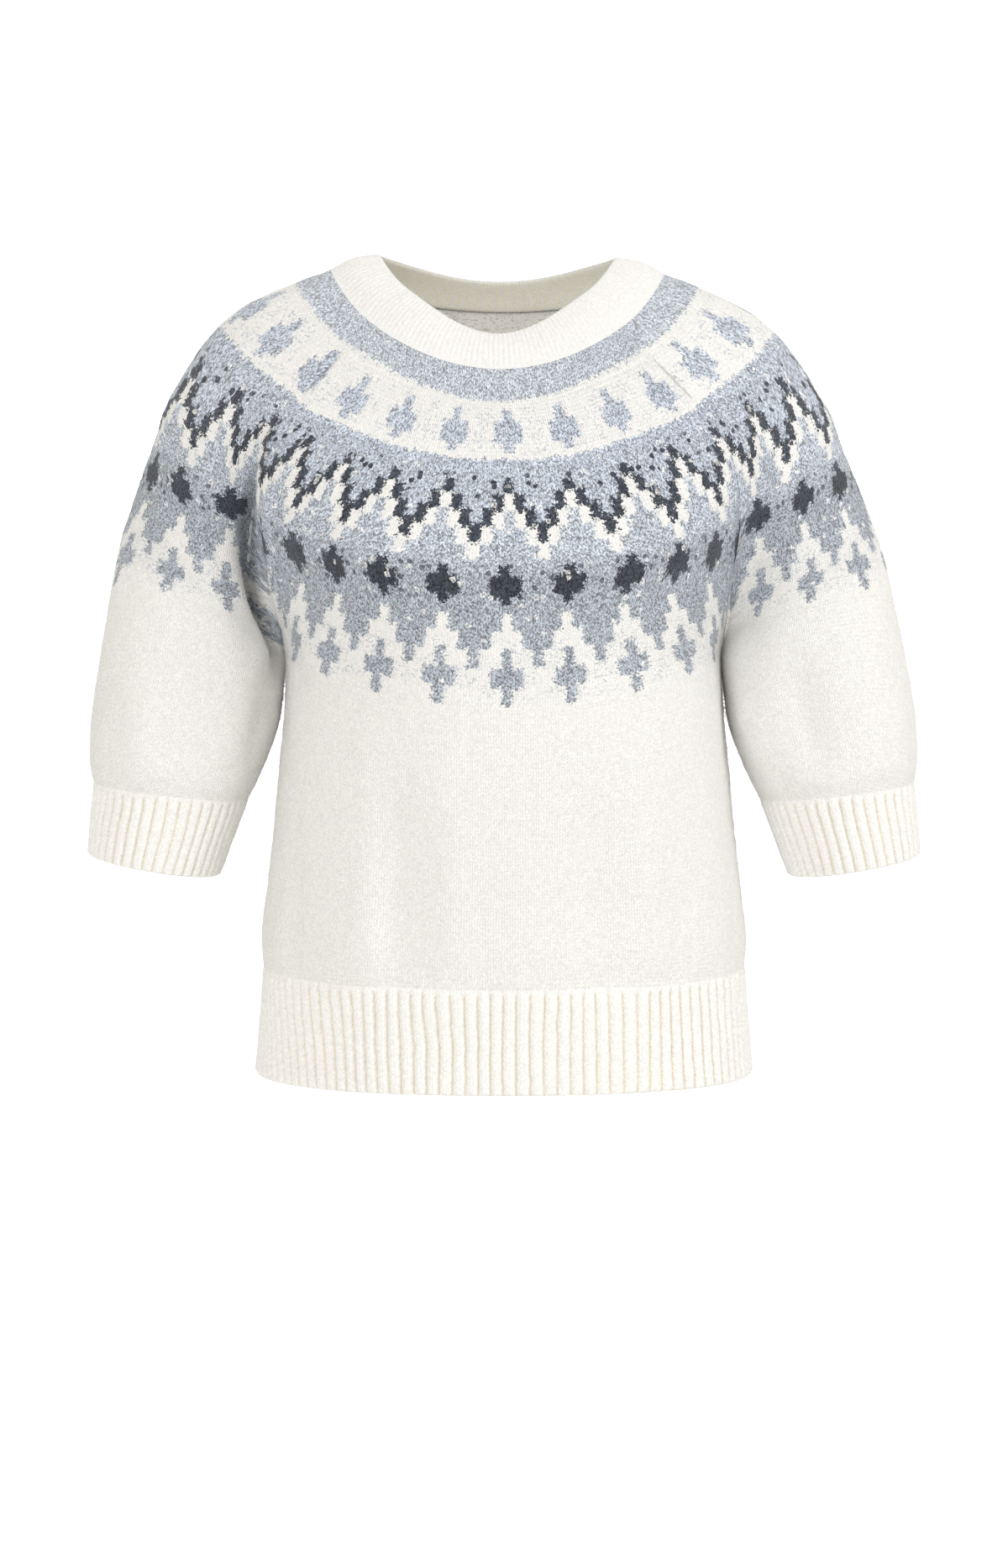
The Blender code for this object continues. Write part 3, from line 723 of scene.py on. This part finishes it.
def makeStitchGroup():
    # Stitches lie in columns, each a V of two legs. Place is (wales, courses).
    group, n, (place, waleWidth), out = newGroup(
        "knitStitch", [("Place", "NodeSocketVector", None), ("Wale Width", "NodeSocketFloat", 3.5)],
        [("Height", "NodeSocketFloat"), ("Streak", "NodeSocketFloat"), ("Fuzz", "NodeSocketFloat")])
    x, y, _ = n.parts(place)
    x = x + (n.noise(n.vector(x, y), 0.55, 1.0) - 0.5) * 0.34
    inWale = n.math("FRACT", x) - 0.5
    aside = abs(inWale) * 2.0                # 0 at the wale's middle, 1 between wales
    leg = n.math("SINE", aside * math.pi)
    loop = n.math("SINE", n.math("FRACT", y + aside * 0.8) * math.pi)
    whichLeg = n.math("FLOOR", x) + n.math("SIGN", inWale) * 0.31
    wide = aside * 0.5 * waleWidth           # both in mm, as deep is
    deep = y * stitch["course"]
    crossLeg = wide * 0.80 + deep * 0.60
    alongLeg = wide * 0.60 - deep * 0.80
    strand = n.noise(n.vector(crossLeg * 1.05, alongLeg * 0.40, whichLeg * 5.7), 1.0, 2.0, 0.6)
    fuzz = n.noise(n.vector(x * waleWidth * 1.15, deep * 0.90), 1.0, 3.0, 0.65)
    n.put(out["Height"], leg * 0.55 + loop * 0.30 + fuzz * 0.9)
    n.put(out["Streak"], n.between(strand, 0.36, 0.64))
    n.put(out["Fuzz"], fuzz)
    return group


def makeChartGroup():
    # Place is (repeats, depth in mm).
    group, n, (place,), out = newGroup("yokeChart", [("Place", "NodeSocketVector", None)],
                                       [("Color", "NodeSocketColor"), ("Grain", "NodeSocketFloat")])
    u, v, _ = n.parts(place)
    wales = u * stitch["perRepeat"]
    spot = n.vector(wales * 7.0, v)          # close to mm both ways
    rag = n.noise(spot, 0.42, 2.0, 0.6)
    ragX, ragY, _ = n.parts(rag.other("Color"))
    fine = n.noise(spot, 1.15, 1.0, 0.5)
    fineX, fineY, _ = n.parts(fine.other("Color"))
    pull = (ragX - 0.5) * look["ragged"] + (fineX - 0.5) * look["ruffle"]
    drop = (ragY - 0.5) * look["ragged"] + (fineY - 0.5) * look["ruffle"]
    wales = wales + pull / stitch["cell"]
    inCell = abs(n.math("FRACT", wales + 0.5) - 0.5)
    tooth = 1.0 - inCell * 2.0               # a knit stitch ends in a point
    v = v + drop - tooth * 1.3
    aside = n.math("PINGPONG", wales, stitch["perRepeat"] / 2)
    for column, changes in chart.items():
        ramp = n.add("ShaderNodeValToRGB", {0: v / chartDepth})
        colors = ramp.socket.node.color_ramp
        colors.interpolation = "CONSTANT"
        colors.elements.remove(colors.elements[1])
        for number, (start, name) in enumerate(changes):
            mark = colors.elements.new(start / chartDepth) if number else colors.elements[0]
            color, grain = yarns[name]
            mark.color = (*color, grain)
        if column == 0:
            shade, mottle = ramp, ramp.other("Alpha")
        else:
            past = aside > column - 0.5
            shade = n.mix(past, shade, ramp)
            mottle = mottle * (1.0 - past) + ramp.other("Alpha") * past
    isCream = mottle < 0.1
    shade = n.mix(isCream, n.scaled(shade, n.between(v, 130, 156, 1.0, look["lowerShade"])), shade)
    # flecks: carried yarn that shows through near the dark stitches, and wisps of blue in the cream
    given = {"Vector": spot, "Scale": 0.20}
    toSpot = n.add("ShaderNodeTexVoronoi", given, "Distance", voronoi_dimensions="2D", feature="F1")
    chance, _, _ = n.parts(toSpot.other("Color"))
    fleck = toSpot + ragY * 0.6 < 0.70
    nearDark = n.math("MAXIMUM", n.within(v, 74, 80, 92, 97), n.within(v, 139, 142, 164, 168) * 0.75)
    darkFleck = fleck * (chance > 0.80) * nearDark * (1.0 - isCream)
    lightFleck = fleck * (chance < 0.07) * n.between(v, 66, 72, 0.0, 0.55)
    shade = n.mix(lightFleck, shade, yarns["cream"][0])
    shade = n.mix(darkFleck, shade, yarns["dark"][0])
    wisp = n.between(fine, 0.44, 0.52) * n.between(rag, 0.53, 0.57)
    wisp = wisp * n.between(n.noise(spot, 0.07, 1.0), 0.42, 0.56, 0.15, 0.95)
    inBands = n.within(v, 24, 30, 60, 66) + n.within(v, 186, 200, 234, 246)
    n.put(out["Color"], n.mix(wisp * isCream * inBands, shade, yarns["blue"][0]))
    n.put(out["Grain"], mottle)
    return group


stitchGroup = makeStitchGroup()
chartGroup = makeChartGroup()


def makeFinish(name, yarnName, bump, waleWidth=3.5, furrow=None, furrowEvery=1, strands=False, glow=0.0):
    # one yarn, or the pattern's yarns after the chart
    finish = bpy.data.materials.new(name)
    finish.use_nodes = True
    n = nodeMaker(finish.node_tree)
    shader = finish.node_tree.nodes["Principled BSDF"].inputs
    place = n.add("ShaderNodeUVMap", uv_map="knit")
    u, v, _ = n.parts(place)
    stitches = n.vector(u * (stitch["perRepeat"] * stitch["perCell"]), v / stitch["course"])
    face = n.add("ShaderNodeGroup", output="Height", node_tree=stitchGroup)
    n.put(face.socket.node.inputs["Place"], stitches)
    n.put(face.socket.node.inputs["Wale Width"], waleWidth)
    fuzz = face.other("Fuzz")
    if yarnName == "chart":
        color = n.add("ShaderNodeGroup", output="Color", node_tree=chartGroup)
        n.put(color.socket.node.inputs["Place"], place)
        grain = color.other("Grain")
    else:
        color, grain = yarns[yarnName]
    if furrow:
        # painted shade: the yarn is warmer, and mostly darker, between two ribs; on the inside, painted
        # highlight: lighter lines along every second rib, where the inside ribs stand up
        phase = n.math("FRACT", u * (stitch["perRepeat"] / furrowEvery))
        toFurrow = 0.5 - abs(phase - 0.5) + (fuzz - 0.5) * 0.22
        color = n.mix(n.between(toFurrow, 0.16, 0.03) * n.between(v, 1.5, 5.5), color, look[furrow])
    if strands:
        # the pattern's other yarns, carried along the inside
        carried = n.between(n.noise(n.vector(u * 6.0, v * 0.60), 1.0, 3.0, 0.75), 0.54, 0.62, 0.0, 0.75)
        color = n.mix(carried * n.between(v, 245, 230), color, look["strands"])
    level = (face.other("Streak") * 1.10 + fuzz * 1.5 - 1.30) * (grain * 2.0) + 1.0
    if yarnName == "chart":
        # painted shade: the yarn is darkened deep in folds and along the seam's line
        paintedShade = n.add("ShaderNodeAttribute", output="Fac", attribute_name="paintedShade")
        level = level * n.between(paintedShade, 0.0, 1.0, 1.0, look["paintedShadeLevel"])
    n.put(shader["Base Color"], n.scaled(color, level))
    given = {"Strength": bump, "Distance": look["reliefDepth"], "Height": face}
    n.put(shader["Normal"], n.add("ShaderNodeBump", given))
    for socketName, value in woolShader.items():
        shader[socketName].default_value = value
    shader["Subsurface Weight"].default_value = glow
    return finish


yokeKnit = makeFinish("yokeKnit", "chart", bump=0.85)
yokeInside = makeFinish("yokeInside", "yokeInside", bump=0.6, strands=True, glow=look["insideGlow"])
ribKnit = makeFinish("ribKnit", "cream", bump=0.5, waleWidth=4.2, furrow="furrow")
ribInside = makeFinish("ribInside", "ribInside", bump=0.5, waleWidth=4.2, furrow="insideRibHighlight",
                       furrowEvery=2, glow=look["insideGlow"])
neckKnit = makeFinish("neckKnit", "neck", bump=0.35, furrow="neckFurrow")
print("finishes made")

# Front, back and sleeves: lump and wave are how high the small and slow unevenness of a knit stands, in mm.
panels = {
    "front": {"columns": 256, "rows": 204, "lump": 0.35, "wave": 0.5, "pinch": 0.12, "seed": 3},
    "back": {"columns": 256, "rows": 204, "lump": 0.35, "wave": 0.5, "pinch": 0.12, "seed": 5},
    "left": {"columns": 220, "rows": 168, "lump": 0.35, "wave": 0.4, "pinch": 0.12, "seed": 7},
    "right": {"columns": 220, "rows": 168, "lump": 0.35, "wave": 0.4, "pinch": 0.12, "seed": 9},
}
unevenness = {"lumpWide": 8, "lumpDeep": 7, "waveWide": 34, "waveDeep": 46}      # their sizes, in mm
# seams, in mm: the pinch all along them, and the groove where the raglan seams cross the upper cream band
seamLook = {
    "pinchWidth": 2.6,
    "groove": 2.3, "grooveWidth": 1.3, "grooveFrom": 30, "grooveTo": 64, "grooveFade": 6,
    # painted shade: a thin dark line along the raglan seam's groove, its width in mm and its strength
    "paintedLineWidth": 0.8, "paintedLineShade": 0.6,
    "paintedShadeFrom": 5.5, "paintedShadeRange": 9.0,       # how deep a fold's painted shade starts, and over what depth it grows
    "settled": 3, "edge": 4,                 # how near a seam, and a panel's two ends, the cloth is even
}
# how far the cloth beside each raglan seam is eased outwards, so that no sharp crevice is left there
seamLifts = {
    "frontLeft": 11.0, "frontRight": 7.0, "backLeft": 4.5, "backRight": 4.0,
    "width": 8.0, "start": 98, "fadeIn": 40, "fadeOut": 22,
}


def inGroove(knit):
    return ease((knit - seamLook["grooveFrom"]) / seamLook["grooveFade"]) \
        * ease((seamLook["grooveTo"] - knit) / seamLook["grooveFade"])


def clothRelief(side, across, knit, choice):
    reach = reachOf(side, knit)
    x, y = across[None, :] * reach, knit[:, None]
    lumps = softNoise(x / unevenness["lumpWide"] + 40, y / unevenness["lumpDeep"] + 40, choice["seed"])
    waves = softNoise(x / unevenness["waveWide"] + 20, y / unevenness["waveDeep"] + 20, choice["seed"] + 1)
    relief = choice["lump"] * lumps + choice["wave"] * waves
    toSeam = toSeamOf(side, across, knit)
    pinch = choice["pinch"] * np.exp(-(toSeam / seamLook["pinchWidth"]) ** 2)
    if not onBody(side):
        pinch = pinch * ease((form["underarm"] + 8 - y) / 16)
    pinch = pinch + seamLook["groove"] * np.exp(-(toSeam / seamLook["grooveWidth"]) ** 2) * inGroove(y)
    edge = ease((y - knit[0]) / seamLook["edge"]) * ease((knit[-1] - y) / seamLook["edge"])
    return (relief * ease(toSeam / seamLook["settled"]) - pinch) * edge


def seamLift(side, across, knit):
    # each side's two seams, with the distance across from them
    seams = {
        "front": (("frontRight", across + 1), ("frontLeft", 1 - across)),
        "back": (("backLeft", across + 1), ("backRight", 1 - across)),
        "left": (("frontLeft", across), ("backLeft", 2 - across)),
        "right": (("backRight", across), ("frontRight", 2 - across)),
    }[side]
    depth = ease((knit - seamLifts["start"]) / seamLifts["fadeIn"]) \
        * ease((form["underarm"] - knit) / seamLifts["fadeOut"])
    lift = np.zeros((len(knit), len(across), 3))
    for name, away in seams:
        beside = np.exp(-away[None, :] * reachOf(side, knit) / seamLifts["width"])
        out = seamLifts[name] * depth[:, None] * beside
        lift[:, :, 1] += -out if name.startswith("front") else out
    return lift


def paintedShadeOf(side, across, knit):
    # how much painted shade each place gets, 0 to 1: deep in a fold, and as a thin dark line along the
    # seam's groove
    paintedLine = np.exp(-(toSeamOf(side, across, knit) / seamLook["paintedLineWidth"]) ** 2) * inGroove(knit)[:, None]
    paintedFold = (-foldHeight(side, across, knit) - seamLook["paintedShadeFrom"]) / seamLook["paintedShadeRange"]
    return np.maximum(np.clip(paintedFold, 0, 1), seamLook["paintedLineShade"] * paintedLine)


def clothPoints(side, across, knit, raised):
    raised = raised + foldHeight(side, across, knit)
    return plainSurface(side, across, knit) + outwardOf(side, across, knit) * raised[:, :, None] \
        + seamLift(side, across, knit)


knitted = namedtuple("knitted", "piece skin uv")


def makePanel(side, name):
    choice = panels[side]
    across = np.linspace(*spanOf(side), choice["columns"] + 1)
    start, end = form["neckSeam"], form["hemSeam" if onBody(side) else "cuffSeam"]
    knit = np.linspace(start, end, choice["rows"] + 1)
    closedFrom = None
    if not onBody(side):
        # a sleeve is a tube from the underarm down, and a row of its knitting starts just there
        closedFrom = coarser * round(choice["rows"] * (form["underarm"] - start) / (end - start) / coarser)
        knit = np.concatenate((np.linspace(start, form["underarm"], closedFrom + 1),
                               np.linspace(form["underarm"], end, choice["rows"] - closedFrom + 1)[1:]))
    outer = clothPoints(side, across, knit, clothRelief(side, across, knit, choice))
    innerAcross, innerKnit = across[::coarser], knit[::coarser]
    sunk = np.full((len(innerKnit), len(innerAcross)), -form["wall"])
    inner = clothPoints(side, innerAcross, innerKnit, sunk)
    if closedFrom:
        for points, closed in ((outer, closedFrom), (inner, closedFrom // coarser)):
            points[closed:, 0] = points[closed:, -1] = (points[closed:, 0] + points[closed:, -1]) / 2
    uv = patternUv(side, across, knit)
    piece = buildWall(name, outer, inner, closedFrom, uv, patternUv(side, innerAcross, innerKnit),
                      (yokeKnit, yokeInside), (0, -1), paintedShadeOf(side, across, knit))
    return knitted(piece, outer, uv)


cloths = {}
for side, name in (("front", "frontPanel"), ("back", "backPanel"), ("left", "sleeveLeft"),
                   ("right", "sleeveRight")):
    cloths[name] = makePanel(side, name)
print("panels knitted")

# Ribbed pieces: relief is how high the ribs stand, and stitches and uneven how much they waver, in mm.
# groove is half a furrow's width, and wander and lean how far ribs stray and hang askew, counted in ribs.
ribs = {
    "hem": {"ribs": {"front": 52, "back": 52}, "perRib": 8, "rows": 32, "relief": 1.9, "groove": 0.15,
            "wander": 0.12, "lean": 2.6, "seam": form["hemSeam"], "edge": form["hemEdge"], "seed": 21},
    "cuff": {"ribs": {"left": 42, "right": 42}, "perRib": 8, "rows": 28, "relief": 1.7, "groove": 0.15,
             "wander": 0.10, "lean": 0, "seam": form["cuffSeam"], "edge": form["cuffEdge"], "seed": 23},
    "neck": {"ribs": {"front": 50, "left": 36, "back": 46, "right": 36}, "perRib": 4, "rows": 20,
             "relief": 0.6, "groove": 0.28, "wander": 0.06, "lean": 0, "seam": form["neckSeam"],
             "edge": form["neckEdge"], "seed": 25},
    "stitches": 0.10, "uneven": 0.18,
    "level": 0.45,               # the share of the relief that lies below the cloth's own level
    "startAt": 1.2, "startSpread": 1.6, "startOver": 3.0,      # mm from the seam where each rib rises
    "swell": 0.3, "swellOver": 12,
    "lipRows": (0.8, 1.8, 3.2),  # mm from the edge, which rounds over
    "lip": 2.2, "lipDrop": 0.75, "innerLipDrop": 0.6,
}


def ribWander(count, y, choice):
    sway = softNoise(count * 0.3, y / 45 + 30, choice["seed"])
    return choice["wander"] * (1.6 * sway + 0.4 * softNoise(count * 0.9, y / 7 + 30, choice["seed"] + 2))


def ribRelief(phase, y, choice, count):
    # round-backed ribs with narrow furrows, which waver a little from stitch to stitch
    place = np.abs((phase + 0.5) % 1.0 - 0.5)
    furrow = np.exp(-(place / choice["groove"]) ** 2)
    stitches = ribs["stitches"] * np.cos(2 * math.pi * y / stitch["course"]) * (1 - furrow)
    rounded = 0.35 * (1 - (1 - 2 * place) ** 2)
    middle = -0.06 * np.exp(-((0.5 - place) / 0.10) ** 2) - 0.35 + rounded
    uneven = ribs["uneven"] * softNoise(count * 1.7 + 3, y / 6 + 11, choice["seed"] + 1)
    return choice["relief"] * (1 - furrow + middle) + (stitches + uneven) * min(1.0, choice["relief"])


def makeRibbed(name, sides, choice, closed, finish):
    seam, edge = choice["seam"], choice["edge"]
    top, bottom = sorted((seam, edge))
    lipRows = [edge + math.copysign(away, seam - edge) for away in ribs["lipRows"]]
    knit = np.sort(np.concatenate((np.linspace(top, bottom, choice["rows"] - len(lipRows) + 1), lipRows)))
    toSeam, toEdge = np.abs(knit - seam)[:, None], np.abs(knit - edge)[:, None]
    lip = np.clip(1 - toEdge / ribs["lip"], 0, 1) ** 2
    outers, inners, columns = [], [], []
    done = 0
    for side in sides:
        count = choice["ribs"][side]
        first, last = spanOf(side)
        phase = np.linspace(0, count, count * choice["perRib"] + 1)
        across = first + (last - first) * phase / count
        counted = phase[None, :] + done
        # at the wearer's right end the ribs hang askew
        turn = -1 if side == "front" else 1
        askew = choice["lean"] * ease((turn * across - 0.05) / 0.95)[None, :]
        moved = phase[None, :] + ribWander(counted, knit[:, None], choice) - askew * toSeam / (bottom - top)
        raised = ribRelief(moved, knit[:, None], choice, counted)
        # the ribs start each at its own place, and stand on the level of the cloth they hang from
        late = softNoise(phase[None, :] * 1.3 + done, 5.5, choice["seed"] + 4)
        late = ribs["startAt"] + ribs["startSpread"] * late
        level = ribs["level"] * choice["relief"]
        raised = (raised - level) * ease((toSeam - late) / ribs["startOver"]) \
            + ribs["swell"] * level * ease(toSeam / ribs["swellOver"])
        outer = clothPoints(side, across, knit, raised - (raised * 0.5 + ribs["lipDrop"]) * lip)
        innerAcross, innerKnit, innerLip = across[::coarser], knit[::coarser], lip[::coarser]
        inner = clothPoints(side, innerAcross, innerKnit, ribs["innerLipDrop"] * innerLip - form["wall"])
        kept = slice(None) if side == sides[-1] else slice(None, -1)      # two sides share a column
        outers.append(outer[:, kept])
        inners.append(inner[:, kept])
        columns.append((moved + done)[:, kept])
        done += count
    outer, inner, columns = (np.concatenate(grids, axis=1) for grids in (outers, inners, columns))
    if closed:
        for points in (outer, inner):
            points[:, -1] = points[:, 0]
    repeats, below = columns / stitch["perRepeat"], toSeam[:, 0]
    uv = evenUv(repeats, below)
    piece = buildWall(name, outer, inner, 0 if closed else None, uv,
                      evenUv(repeats[::coarser, ::coarser], below[::coarser]), (finish, ribInside),
                      (0 if seam == top else -1,))
    return knitted(piece, outer, uv)


for side in ("front", "back"):
    name = "hemRib" + side.capitalize()
    cloths[name] = makeRibbed(name, [side], ribs["hem"], False, ribKnit)
for side in ("left", "right"):
    name = "cuff" + side.capitalize()
    cloths[name] = makeRibbed(name, [side], ribs["cuff"], True, ribKnit)
cloths["neckBand"] = makeRibbed("neckBand", list(ribs["neck"]["ribs"]), ribs["neck"], True, neckKnit)
print("ribs knitted")

# nap: fine fibres brushed up from the yarn, thin closed spikes joined into one mesh a piece
nap = {
    "perSquareCm": 10,           # fibres on the outside
    "atSeams": 3.0,              # how many times more of them beside the open seams
    "seamColumns": 5,
    "length": (1.6, 4.6),        # mm, shortest and longest
    "radius": 0.0986,            # mm from a fibre's middle to the corners of its foot
    "rooted": 0.1,               # mm that a fibre starts below the surface
    "lift": (0.25, 0.95),        # how steeply they stand: 0 lies flat, 1 stands up
    "seed": 77,
}


def unit(vectors):
    return vectors / np.linalg.norm(vectors, axis=1, keepdims=True)


def makeNap(name, skin, uv, number, finish):
    rng = np.random.default_rng(nap["seed"] + number)
    areas = np.linalg.norm(np.cross(skin[1:, :-1] - skin[:-1, :-1], skin[:-1, 1:] - skin[:-1, :-1]), axis=2)
    count = int(areas.sum() / 100 * nap["perSquareCm"])
    columns = np.arange(areas.shape[1])
    fromSeam = np.minimum(columns, areas.shape[1] - 1 - columns) / nap["seamColumns"]
    share = areas * (1 + nap["atSeams"] * np.exp(-fromSeam ** 2))
    cell = rng.choice(areas.size, count, p=(share / share.sum()).ravel())
    row, column = np.divmod(cell, areas.shape[1])
    a, b = rng.random(count)[:, None], rng.random(count)[:, None]
    corner, right = skin[row, column], skin[row, column + 1]
    below, opposite = skin[row + 1, column], skin[row + 1, column + 1]
    root = (corner * (1 - a) + right * a) * (1 - b) + (below * (1 - a) + opposite * a) * b
    out = unit(np.cross(below - corner, right - corner))
    along = unit(right - corner)
    turn = rng.uniform(0, 2 * math.pi, count)[:, None]
    flat = along * np.cos(turn) + np.cross(out, along) * np.sin(turn)
    lift = rng.uniform(*nap["lift"], count)[:, None]
    way = out * lift + flat * np.sqrt(1 - lift ** 2)
    shortest, longest = nap["length"]
    tip = root + way * (shortest + (longest - shortest) * rng.random(count)[:, None] ** 2)
    first = unit(np.cross(way, out + 0.01 * along))
    second = np.cross(way, first)
    root = root - out * nap["rooted"]
    feet = [root + (first * math.cos(angle) + second * math.sin(angle)) * nap["radius"]
            for angle in (0, 2 * math.pi / 3, 4 * math.pi / 3)]
    points = np.stack((*feet, tip), axis=1).reshape(-1, 3) * mm
    sides = np.array([(0, 2, 1), (0, 1, 3), (1, 2, 3), (2, 0, 3)])
    faces = (np.arange(count)[:, None, None] * 4 + sides).reshape(-1, 3)
    mesh = bpy.data.meshes.new(name)
    mesh.from_pydata(points.tolist(), [], faces.tolist())
    rootUv = uv[row, column, 0][:, None, :].repeat(sides.size, axis=1)
    mesh.uv_layers.new(name="knit").data.foreach_set("uv", rootUv.ravel())
    return linkPiece(name, mesh, [finish])


yokeNap = makeFinish("yokeNap", "chart", bump=0.0)
ribNap = makeFinish("ribNap", "nap", bump=0.0)
naps = {}
for number, (name, cloth) in enumerate(cloths.items()):
    finish = yokeNap if name.endswith("Panel") or name.startswith("sleeve") else ribNap
    naps[name] = makeNap(name + "Nap", cloth.skin, cloth.uv, number, finish)
print("nap brushed:", sum(len(piece.data.polygons) for piece in naps.values()), "faces")

# What each piece is. node: the solid it stands for. slot: the record's finish. flat: the cut's width
# and length, and area its area, in metres.
cut = namedtuple("cut", "node slot flat area on")
cuts = {
    "neckBand": cut("neckband", "rib_knit", (0.663, 0.032), 0.0183, ["frontPanel", "backPanel"]),
    "frontPanel": cut("front_panel", "yoke_knit", (0.466, 0.452), 0.1713, ["neckBand"]),
    "backPanel": cut("back_panel", "yoke_knit", (0.447, 0.452), 0.166, ["neckBand"]),
    "sleeveLeft": cut("sleeve_left", "yoke_knit", (0.400, 0.372), 0.111,
                      ["neckBand", "frontPanel", "backPanel"]),
    "sleeveRight": cut("sleeve_right", "yoke_knit", (0.400, 0.372), 0.111,
                       ["neckBand", "frontPanel", "backPanel"]),
    "hemRibFront": cut("hem_rib_front", "rib_knit", (0.470, 0.070), 0.0327, ["frontPanel"]),
    "hemRibBack": cut("hem_rib_back", "rib_knit", (0.457, 0.070), 0.0315, ["backPanel"]),
    "cuffLeft": cut("cuff_left", "rib_knit", (0.313, 0.062), 0.0187, ["sleeveLeft"]),
    "cuffRight": cut("cuff_right", "rib_knit", (0.313, 0.062), 0.0187, ["sleeveRight"]),
}
for name, its in cuts.items():
    piece = cloths[name].piece
    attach(piece, "root")
    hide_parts(its.node)
    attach(naps[name], "root")

# the studio, in metres
studio = {
    "floorHeight": -1.45,        # where the wearer's feet would be
    "floorSize": 12,
    "backdropAt": 3.2,
    "backdropHeight": 6,
    "sweep": 1.2,                # radius of the bend between the floor and the backdrop
    "paper": (0.95, 0.95, 0.95, 1),
    "camera": (0.0, -2.2, -0.168),
    "tiltDown": 4.7,
    "focalPixels": 3800,         # on the long side of a 1200 x 1867 frame
    "longSide": 1867,
    "sensor": 36,
    "roomLight": (1.0, 0.965, 0.905, 1),
    "roomStrength": 0.76,
}
light = namedtuple("light", "place target size power color")
lights = {
    "keyLight": light((2.2, -1.45, 1.5), (0, 0, -0.22), 1.3, 36.5, (0.95, 0.975, 1.0)),
    "frontLight": light((-1.0, -2.4, 0.1), (0, 0, -0.2), 1.4, 16.5, (0.95, 0.975, 1.0)),
}


def workEdges(mesh, chosen, operator, **how):
    # an edit mode step on the edges whose two ends are both chosen
    bpy.ops.object.mode_set(mode="EDIT")
    bpy.ops.mesh.select_mode(type="EDGE")
    bpy.ops.mesh.select_all(action="DESELECT")
    bpy.ops.object.mode_set(mode="OBJECT")
    for edge in mesh.edges:
        edge.select = all(chosen(mesh.vertices[i].co) for i in edge.vertices)
    bpy.ops.object.mode_set(mode="EDIT")
    operator(**how)
    bpy.ops.object.mode_set(mode="OBJECT")


def makeFloor():
    size, height = studio["floorSize"], studio["floorHeight"]
    far, low = studio["backdropAt"] - 0.01, height + 0.01
    bpy.ops.object.select_all(action="DESELECT")
    bpy.ops.mesh.primitive_plane_add(size=size, location=(0, studio["backdropAt"] - size / 2, height))
    floor = bpy.context.object
    floor.name = "studioFloor"
    bpy.ops.object.transform_apply(location=True, rotation=True, scale=True)
    workEdges(floor.data, lambda p: p.y > far, bpy.ops.mesh.extrude_region_move,
              TRANSFORM_OT_translate={"value": (0, 0, studio["backdropHeight"])})
    workEdges(floor.data, lambda p: p.y > far and p.z < low, bpy.ops.mesh.bevel,
              offset=studio["sweep"], segments=16, affect="EDGES")
    bpy.ops.object.shade_smooth()
    paper = bpy.data.materials.new("studioPaper")
    paper.use_nodes = True
    n = nodeMaker(paper.node_tree)
    shader = paper.node_tree.nodes["Principled BSDF"].inputs
    shader["Base Color"].default_value = studio["paper"]
    shader["Roughness"].default_value = 0.9
    shader["Emission Color"].default_value = (1, 1, 1, 1)
    # the paper glows white only where it is seen
    n.put(shader["Emission Strength"], n.add("ShaderNodeLightPath", output="Is Camera Ray"))
    floor.data.materials.append(paper)


makeFloor()
for name, lamp in lights.items():
    data = bpy.data.lights.new(name, "AREA")
    data.shape = "DISK"
    data.size = lamp.size
    data.energy = lamp.power
    data.color = lamp.color
    placed = bpy.data.objects.new(name, data)
    placed.location = lamp.place
    placed.rotation_euler = (Vector(lamp.target) - Vector(lamp.place)).to_track_quat("-Z", "Y").to_euler()
    bpy.context.scene.collection.objects.link(placed)

world = bpy.data.worlds.new("softRoom")
world.use_nodes = True
room = world.node_tree.nodes["Background"].inputs
room["Color"].default_value = studio["roomLight"]
room["Strength"].default_value = studio["roomStrength"]
bpy.context.scene.world = world

cameraData = bpy.data.cameras.new("camera")
cameraData.sensor_width = studio["sensor"]
cameraData.lens = studio["focalPixels"] * studio["sensor"] / studio["longSide"]
camera = bpy.data.objects.new("camera", cameraData)
camera.location = studio["camera"]
camera.rotation_euler = (math.radians(90 - studio["tiltDown"]), 0, 0)
bpy.context.scene.collection.objects.link(camera)
bpy.context.scene.camera = camera
bpy.context.scene.view_settings.view_transform = "Standard"
print("studio lit")
